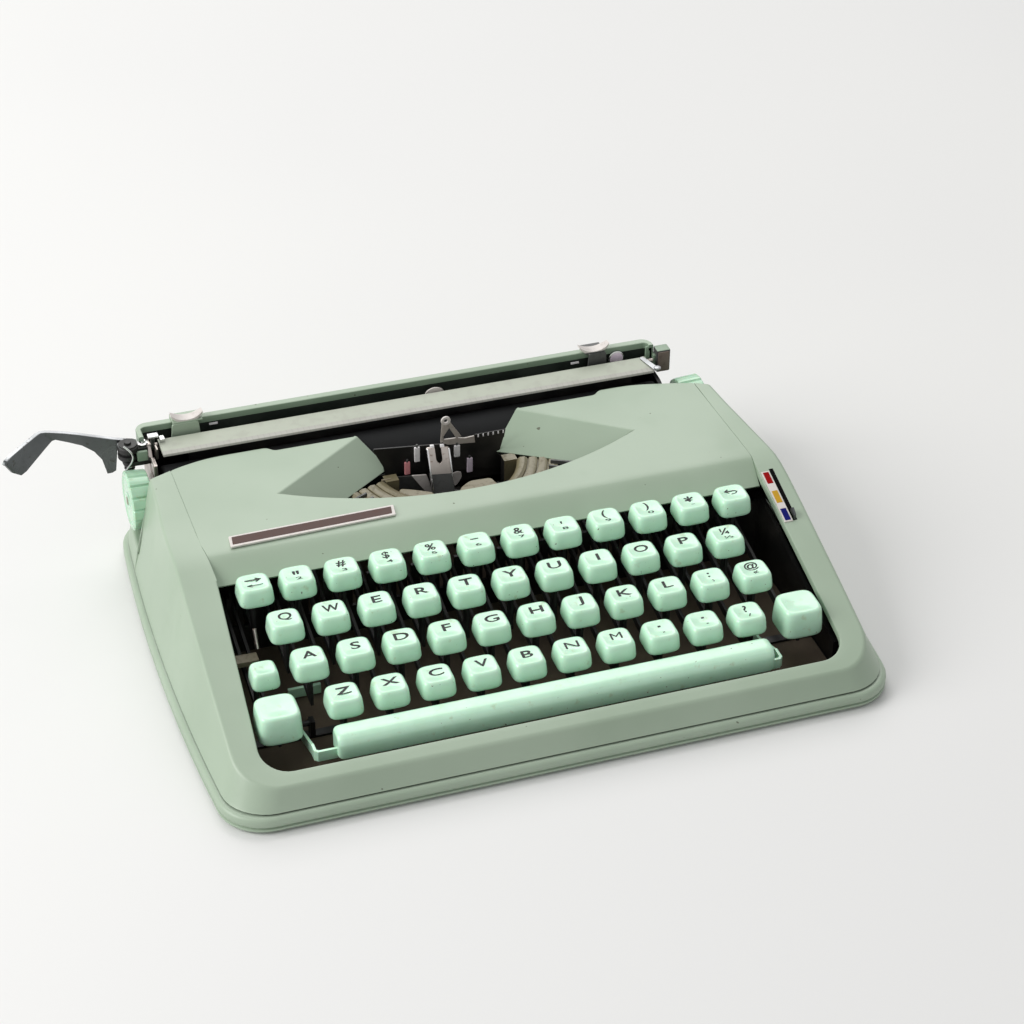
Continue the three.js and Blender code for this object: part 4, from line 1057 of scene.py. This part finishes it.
def make_lever_bracket():
    """The bracket outside the left end plate that carries the return lever, and what is fixed round it."""
    base = soften([(-137, 195.4), (-125, 195.4), (-125, 210), (-132, 210), (-137, 206)], [3, 0.5, 0.5, 2, 3])
    washer = [(0, 0), (0, 2.2), (0.5, 2.4), (0.9, 2.4), (1.2, 1.4), (2, 1.3), (2, 0)]
    wire = [(-136.5 + 3.4 * sin(pi * k / 14), 195 - 0.8 * k / 14, 57 - 11.5 * k / 14) for k in range(15)]
    return [
        *cuts("Z", ("bracket", BLACK, base, 45.8, 47.8, 0.3)),
        dress(rod("lever_pin", (-134, 200, 46), (-134, 200, 56), 1.55, 0.4), BLACK),
        *blocks(
            ("shoe", SHADED_ENAMEL, (-131, 195.6, 45.4), (-126.2, 197.4, 52.4), 0.7),
            ("shoe_back", BLACK, (-131.6, 197.5, 45), (-125.8, 198.3, 53.2), 0.4),
            ("end_strip", NICKEL, (-125.6, 187.5, 43), (-123.9, 194.6, 49.4), 0.4),
            ("catch", CHROME, (-125.4, 198.4, 56.1), (-120.6, 201.6, 57.4), 0.5),
            ("catch_stem", DARK_CHROME, (-124, 199.2, 50), (-122.4, 200.8, 56.3), 0.3),
            ("bail_ear", NICKEL, (-122.9, 196.2, 46.6), (-121.6, 200.4, 52), 0.4),
        ),
        dress(strand("spring_wire", wire, 0.42), CHROME),
        *(dress(turned("washer", washer, at, "Z", 20), CHROME)
          for at in ((-127.6, 200.4, 53.2), (-134.4, 197.4, 43.8))),
    ]


def make_carriage_fittings():
    middle_x, middle_z = 92.2, 51.4
    profile = [(0, 0), (0, 3.2), (0.3, 3.7), (0.9, 3.7), (1.4, 3), (1.5, 0)]
    button = turned("button", profile, (middle_x, 206.8, middle_z), "Y", 28)
    face = lambda at, up: up.y < -0.8 and hypot(at.x - middle_x, at.z - middle_z) < 2.9
    dress(button, CHROME, (LILAC, face))
    disc = [(4.5 * cos(a) + 5, 50.4 + 3.5 * sin(a)) for a in [pi * k / 16 for k in range(17)]]
    parts = blocks(
        *(("dash", WHITE, (x - 1.7, 207.6, z - 1.35), (x + 2.1, 208.2, z - 0.45), 0.1)
          for x, z in ((-94.9, 53.6), (72.3, 53.1))),
        ("frame_foot", SHADED_ENAMEL, (105.7, 205.4, 46.2), (109.4, 206.8, 55.8), 0.8),
        ("end_neck", SHADED_ENAMEL, (109, 203.2, 46), (111, 206.6, 52), 0.3),
        ("end_face", TAPE, (110.5, 201.15, 44.2), (115.9, 201.8, 54.2), 0.25),
        ("end_block", SLATE, (110, 201.6, 43.6), (116.6, 207.1, 55), 0.7),
    )
    dress(parts[-1], SLATE, (SHADED_ENAMEL, lambda at, up: up.z > 0.5))
    return [button, *parts, *cuts("Y", ("paper_rest", SILVER, disc, 204.4, 205, 0.1))]


def make_margin_stops():
    for side, x, reach, shift, top_z, finish in (
        ("left", -106.3, 6.6, -1.1, 58.2, ENAMEL), ("right", 81.3, 4.6, 1.2, 57.9, SLATE),
    ):
        rings = []
        for k in range(15):
            u = -1 + k / 7
            top = top_z + 2.6 * abs(u) ** 2.2
            half_y = 2.5 - 0.9 * abs(u) ** 4
            low = top - 1.7 + 0.7 * abs(u) ** 3
            near, far = STOP_Y - half_y, STOP_Y + half_y
            section = [(near, low), (far, low), (far, top), (near, top)]
            rings.append([(x + 7 * u, y, z) for y, z in soften(section, 0.3, 2)])
        wide = [(-reach, 48.4), (reach, 48.4), (reach * 0.88, 57), (-reach * 0.88, 57)]
        post = soften([(x + shift + across, z) for across, z in wide], [0.3, 0.3, 1.2, 1.2])
        parts = [
            dress(skin("grip", rings), SILVER),
            *cuts("Y", ("post", finish, post, 205.3, 206.5, 0.25)),
            *blocks(("rear", finish, (x - reach, 212.6, 50.2), (x + reach, 213.4, 57.5), 0.3),
                    ("head", finish, (x - reach, 205.6, 56.95), (x + reach, 213.4, 57.65), 0.2)),
        ]
        node = "margin_stop_" + side
        fit(gather(node + "_piece", *parts), node, "chrome", node)


def make_return_lever():
    """The lever: a leaning sheet with a bright rim, a web below its root and a finger tab bent forwards."""
    stations = [
        ((-129.6, 203, 53.4), (-129.6, 203, 50.6)), ((-134, 203.1, 54.8), (-134, 203, 52.6)),
        ((-137.8, 203.2, 55.8), (-138, 203.1, 51.4)), ((-139.2, 203.4, 56.1), (-139.4, 203.2, 40.2)),
        ((-141, 203.7, 56.5), (-141.1, 203.4, 39.2)), ((-143.2, 204, 57.1), (-143.2, 203.6, 39)),
        ((-145, 204.3, 57.6), (-144.9, 204, 46.4)), ((-148.5, 204.8, 58.5), (-147.9, 204.5, 50.8)),
        ((-153.2, 205.5, 59.8), (-152.5, 205.4, 54.2)), ((-160.5, 206.4, 61.6), (-158, 206.3, 56.4)),
        ((-167.5, 207.2, 62.8), (-163.4, 207, 58.4)), ((-169.4, 207.1, 63), (-165, 206.6, 58.4)),
        ((-171, 206, 63), (-166.6, 205, 58)), ((-178, 200, 62.4), (-172.5, 199.4, 56)),
        ((-184, 194.6, 61.8), (-178.4, 194.2, 53.6)), ((-186.2, 192.7, 61.2), (-181, 192.3, 53.2)),
        ((-187.2, 191.8, 60), (-184.4, 191.8, 55.4)),
    ]
    tops = [Vector(top) for top, _ in stations]
    rings = []
    for i, (top, foot) in enumerate(zip(tops, (Vector(foot) for _, foot in stations))):
        run = tops[min(i + 1, len(tops) - 1)] - tops[max(i - 1, 0)]
        out = Vector((run.y, -run.x, 0)).normalized()
        out = out if out.y > 0 else -out
        down = (foot - top).normalized()
        rim = [(0, 0.8), (0.15, 0.25), (0.6, 0), (1.7, 0), (1.9, 0.4), (1.8, 1), (1.2, 1.2)]
        rings.append([foot, *(top + n * out + d * down for n, d in rim), foot + 1.2 * out])
    arm = dress(skin("arm", rings), DARK_CHROME, (STEEL, lambda at, up: up.z > 0.8))
    profile = [(0, 1.8), (0, 4.4), (0.3, 4.6), (2.2, 4.6), (2.5, 3.6), (3.6, 3.6), (3.8, 4.5), (5.8, 4.5),
               (6.2, 4), (6.9, 4), (6.9, 1.8)]
    hub = turned("hub", profile, (-134, 200, 48.15), "Z", 36)
    cheek = soften([(-138.4, 197), (-130, 197.6), (-129.8, 204.4), (-138.4, 204.6)], 3)
    parts = [arm, dress(hub, BLACK), *cuts("Z", ("cheek", DARK_CHROME, cheek, 53.4, 54.6, 0.2))]
    fit(gather("return_lever_arm", *parts), "return_lever", "chrome", "return_lever")


# ---- Type and guides ----

SEGMENT_Y = 172
TYPE_BARS = 26
POST_X, POST_REACH = 27, 3.1


def round_segment(r, angle, side=0):
    """A place at a distance from the segment's centre, shifted sideways from its spoke."""
    c, s = cos(angle), sin(angle)
    return r * c - side * s, SEGMENT_Y + r * s + side * c


def make_type_basket():
    """The segment with its ridges, and the bars that lie in it under the cover."""
    ridges = [
        (31, 36.2), (31.5, 37), (32.6, 37.8), (34.4, 38), (35.6, 37.4), (35.8, 36.8), (36.2, 36.8),
        (36.5, 37.6), (38.6, 37.9), (40, 37.3), (40.2, 36.6), (40.6, 36.6), (40.9, 37.4), (43, 37.7),
        (44.4, 37.1), (44.6, 36.5), (45, 36.5), (45.3, 37.2), (47.4, 37.5), (49, 36.7), (49, 35.9), (31, 35.9),
    ]
    turns = [pi * (1.085 + 0.83 * k / 40) for k in range(41)]
    rings = [[(*round_segment(r, angle), z) for r, z in ridges] for angle in turns]
    parts = [dress(skin("segment", rings), BRASS)]
    for i in range(TYPE_BARS):
        angle = pi * (1.14 + 0.72 * i / (TYPE_BARS - 1))
        for name, finish, r0, r1, half, low, high in (
            ("type_bar", SLATE, 46, 58, 0.45, 39.4, 41.2),
            ("type_head", DARK_CHROME, 57, 60.2, 0.9, 38.6, 41.6),
        ):
            corners = ((r0, -half), (r1, -half), (r1, half), (r0, half))
            outline = [round_segment(r, angle, side) for r, side in corners]
            parts += cuts("Z", (name, finish, outline, low, high, 0))
    for outline in (
        [(-2.7, 139.5), (12, 139.5), (16, 147), (14.5, 153.2), (5.1, 153.6), (0, 150), (-2.9, 144.5)],
        [(-30, 147), (-24, 140), (-13, 139.5), (-12.6, 150.2), (-19.9, 154.4), (-25.4, 157)],
    ):
        parts += cuts("Z", ("segment_plate", BRASS, soften(outline, 1.6), 35.9, 37, 0.3))
    parts += blocks(("segment_lug", TAN, (-31.4, 164.4, 32.6), (-26.8, 165.4, 37.6), 0.3))
    fit(gather("type_segment", *parts), "base", "type_metal", "type_basket")


def make_guide():
    """The leaning fork that guides the type to the line, with its bright edges."""
    outline = soften(
        [(-9.9, 27), (0.3, 27), (0.3, 46.6), (-3.3, 46.6), (-3.3, 41.4), (-4.7, 39.8), (-6.1, 41.4),
         (-6.1, 46.6), (-9.9, 46.6)],
        [0.6, 0.6, 0.7, 0.4, 0.8, 0.9, 0.8, 0.4, 0.7],
    )
    waist = 36.2
    fork = cut("fork", outline, 168.6, 169.6, "Y", 0.15)
    score(fork, (0, 0, waist), (0, 0, 1))
    dress(fork, NICKEL, (SLATE, lambda at, up: at.z < waist))
    parts = [fork, *blocks(
        ("rim", CHROME, (-9.95, 167.7, 27.6), (-9.25, 169.4, 46.4), 0.15),
        ("rim", CHROME, (-0.25, 167.7, 35), (0.45, 169.4, 46.4), 0.15),
        ("lug", WHITE, (-7.9, 168.9, 45.8), (-6.1, 170, 47.4), 0.25),
        ("lug", WHITE, (-3.3, 168.9, 45.8), (-1.5, 170, 47.4), 0.25),
    )]
    guide = gather("type_guide", *parts)
    for vertex in guide.data.vertices:  # leans it towards the keys, and down to the right
        x, y, z = home(vertex.co)
        vertex.co = spot(x, y - 0.5 * (46.6 - z), z - 0.12 * (x + 4.8))
    fit(guide, "ribbon_guide", "chrome", "ribbon_guide")


def make_shield():
    """What is fixed behind the type: black shields, line marks, rollers and wings."""
    low = soften([(-66, 24), (66, 24), (66, 33.5), (-66, 35)], 0.8)
    plate = [(-28, 35.3), (31, 28), (31, 34), (24, 35.5), (26.4, 44.4), (12.8, 44.6), (-32.6, 49.6),
             (-33, 48.8), (-28.6, 39.4)]
    throat = [(-25, 35.6), (-15.6, 34.5), (-9.5, 24.2), (-24.6, 26.8)]
    left = [(-17.4, 36.1), (-10.6, 35.2), (-9.4, 31.5), (-7.7, 23.5), (-10.1, 24.9), (-13.5, 29.9)]
    right = [(1, 33.3), (3.3, 34), (5.2, 33.3), (5.4, 30.8), (3.8, 27.9), (2.3, 26.5)]
    parts = cuts(
        "Y",
        ("low_shield", BLACK, low, 172.6, 173.5, 0.15), ("shield", BLACK, plate, 171.2, 172, 0.15),
        ("throat", SLATE, throat, 168, 168.6, 0.1),
        ("left_wing", SILVER, soften(left, 0.5), 166, 166.7, 0.12),
        ("right_wing", SILVER, soften(right, 0.6), 166, 166.7, 0.12),
    )
    for x0, x1, z0, z1, finish in ((-14.8, -12.3, 39.9, 47.4, WHITE), (3.3, 6, 38.8, 44.9, WHITE),
                                   (-19.3, -16.8, 34.2, 40.6, PINK), (9.2, 11.8, 29.6, 37, LILAC)):
        parts += blocks(("roller_tab", finish, (x0, 170, z0), (x1, 171.1, z1), 0.35))
        pin = rod("roller_pin", (x0 + 1.2, 170.6, z1 - 0.5), (x0 + 1.2, 170.6, z1 + 1.3), 0.5, 0.1, 12)
        parts.append(dress(pin, SLATE))
    fit(gather("type_shield", *parts), "base", "black_steel")


def make_card_holder():
    """A small three-cornered card holder with an eye, and the marked strip beside it."""
    outlines = [
        [(-2.8, 47.4), (-2.1, 57.7), (-0.6, 57), (-1.5, 50.4), (-1.4, 47.4)],
        [(0.1, 56.6), (1.4, 57.6), (3.2, 54.7), (6.7, 49), (4.4, 48.4), (1, 54.6)],
        [(-1.5, 46.9), (-1.1, 48.8), (4.6, 48.5), (8.4, 47.7), (12.6, 48), (13, 44.5), (0.5, 45.8)],
        [(-1.7, 57.2), (-0.2, 57.2), (1.1, 54.4), (-1.4, 50.6), (-1.9, 51)],
    ]
    lifts = [0.06 * k for k in range(4)]  # keeps the overlapping limbs from lying in one plane
    parts = cuts("Y", *(("holder", PEWTER, outline, 170.6 - lift, 171.2 + lift, 0.12)
                        for outline, lift in zip(outlines, lifts)))
    profile = [(0, 0.95), (0, 1.95), (0.15, 2.15), (0.75, 2.15), (0.9, 1.95), (0.9, 0.95)]
    turns = [2 * pi * k / 28 for k in range(29)]
    eye = [[(-0.35 + r * cos(a), 170.35 + along, 58.3 + r * sin(a)) for along, r in profile] for a in turns]
    parts.append(dress(skin("eye_ring", eye, caps=False), SILVER))
    strip = [(12.9, 44.2), (26.6, 44.2), (27.2, 48.2), (12.9, 48.2)]
    parts += cuts("Y", ("scale_strip", BLACK, strip, 171.2, 171.7, 0.1))
    for x in [14.6 + 2.3 * k for k in range(6)]:
        parts += blocks(("mark", WHITE, (x - 0.28, 171, 46.6), (x + 0.28, 171.25, 48), 0.05))
    fit(gather("card_holder", *parts), "base", "chrome")


def make_selector():
    """The selector's tab, its slot and the coloured strip beside it, all on the slope."""
    parts = []
    for name, finish, x0, x1, y0, y1, up in (
        ("strip", SILVER, 121.7, 125.5, 81.2, 108.2, 0.45), ("red", RED, 122.3, 124.9, 101.6, 107.6, 0.55),
        ("ochre", OCHRE, 122.3, 124.9, 91.2, 97.6, 0.55), ("blue", BLUE, 122.3, 124.9, 81.8, 88, 0.55),
        # the slot is a flat near-black strip on the slope: painted shade
        ("slot", SLOT_SHADE, 125.8, 127.7, 81.6, 109.4, 0.12),
    ):
        outline = [(y, surface(y) + rise) for y, rise in ((y0, -0.6), (y1, -0.6), (y1, up), (y0, up))]
        parts += cuts("X", (name, finish, outline, x0, x1, 0.08))
    fit(gather("selector_strip", *parts), "base", "chrome")
    low, high = box_of("ribbon_selector")
    y0, y1 = low[1], high[1]
    # the tab's corners: depth, where the slope is taken, and height over it
    corners = ((y0, y0, -5), (y1, y1, -5), (y1, y1, 2.2), (y1 - 1, y1, 3), (y0 + 1, y0, 3), (y0, y0, 2.2))
    blade = [(y, surface(on) + rise) for y, on, rise in corners]
    tab, = cuts("X", ("selector_tab", DARK_CHROME, blade, 126.15, 127.25, 0.2))
    fit(tab, "ribbon_selector", "black_steel", "ribbon_selector")


def make_well_fittings():
    bracket, bar = blocks(
        ("side_bracket", TAN, (-119.5, 75.5, 22), (-108.5, 81, 24.5), 0.4),
        ("cross_bar", MINT, (-97.8, 73.6, 2.8), (-84, 75.2, 7.4), 0.3),
    )
    pin = dress(rod("side_rod", (-107.4, 83, 24), (-107.4, 87.2, 31.4), 0.9), NICKEL)
    fit(gather("left_bracket", bracket, pin, bar), "base", "black_steel")


def make_spools():
    profile = [(0, 0), (0, 16), (0.8, 16.4), (0.8, 9), (6, 9), (6, 16.4), (6.8, 16), (6.8, 3), (8.2, 2.6),
               (8.2, 0)]
    wound = [(0, 0), (0, 13.5), (5, 13.5), (5, 0)]
    for x, name in ((-92, "left"), (92, "right")):
        spool = dress(turned("spool", profile, (x, 139, 38.2), "Z", 40), NICKEL)
        ribbon = dress(turned("ribbon", wound, (x, 139, 39.1), "Z", 40), INK)
        fit(gather("ribbon_spool_" + name, spool, ribbon), "base", "type_metal")


def finish_chassis():
    """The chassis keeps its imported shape, in black, and the posts under the segment are brass."""
    def post(at, up):
        return abs(abs(at.x) - POST_X) < POST_REACH and at.y > 140 and at.z > 22 and abs(up.x) < 0.5
    dress(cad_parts["chassis"], BLACK, (BRASS, post))


# ---- Studio ----

ROOM_LIGHT, ROOM_SEEN = 0.43, 0.86  # the world as a lamp, and as camera and gloss see it
FLOOR_SIZE, FLOOR_DROP = 14, 0.4 * MM
WORK_PLACE = (0, 100, 20)


def make_studio():
    grid = bpy.ops.mesh.primitive_grid_add
    floor = blank("studio_floor", grid, x_subdivisions=8, y_subdivisions=8, size=FLOOR_SIZE)
    for vertex in floor.data.vertices:
        vertex.co.z = -FLOOR_DROP
    cloth = Finish("floor_paper", (232, 232, 231), 0.9)
    tone = cloth.patches(1.6, 2, 0.3, 0.7)
    cloth.feed(Base_Color=cloth.mix(tone, (233, 233, 232), (229, 229, 229)))
    dress(floor, cloth.material)
    world = bpy.data.worlds.new("studio")
    bpy.context.scene.world = world
    world.use_nodes = True
    sky = Sketch(world.node_tree)
    light = sky.tree.nodes["Background"]
    sky.put(light.inputs["Color"], (1, 1, 1, 1))
    camera_ray, glossy_ray = (sky.node("LightPath", out=ray) for ray in ("Is Camera Ray", "Is Glossy Ray"))
    seen = camera_ray.math("MAXIMUM", camera_ray, glossy_ray)
    strength = sky.node("MapRange", {"Value": seen, "To Min": ROOM_LIGHT, "To Max": ROOM_SEEN})
    sky.put(light.inputs["Strength"], strength)
    add_lamp("window_light", (-1500, 200, 1000), 1.2, 24)
    add_lamp("ceiling_light", (350, 1900, 2200), 2.2, 36)


def add_lamp(name, at, size, watts):
    data = bpy.data.lights.new(name, "AREA")
    data.color = (1, 0.995, 0.975)
    data.shape = "SQUARE"
    data.size = size
    data.energy = watts
    lamp = bpy.data.objects.new(name, data)
    bpy.context.scene.collection.objects.link(lamp)
    lamp.location = spot(*at)
    lamp.rotation_euler = (spot(*WORK_PLACE) - spot(*at)).to_track_quat("-Z", "Y").to_euler()


# ---- The typewriter ----

set_camera()
for make in (
    make_tray, make_casing, make_floor_lining, make_cover, make_nameplate, make_keys, make_shift_keys,
    make_space_bar, make_platen, make_bail, make_carriage, make_margin_stops, make_return_lever,
    make_type_basket, make_guide, make_shield, make_card_holder, make_selector, make_well_fittings,
    make_spools, finish_chassis, make_studio,
):
    make()

view = bpy.context.scene.view_settings
view.view_transform = "Standard"

bpy.context.view_layer.update()
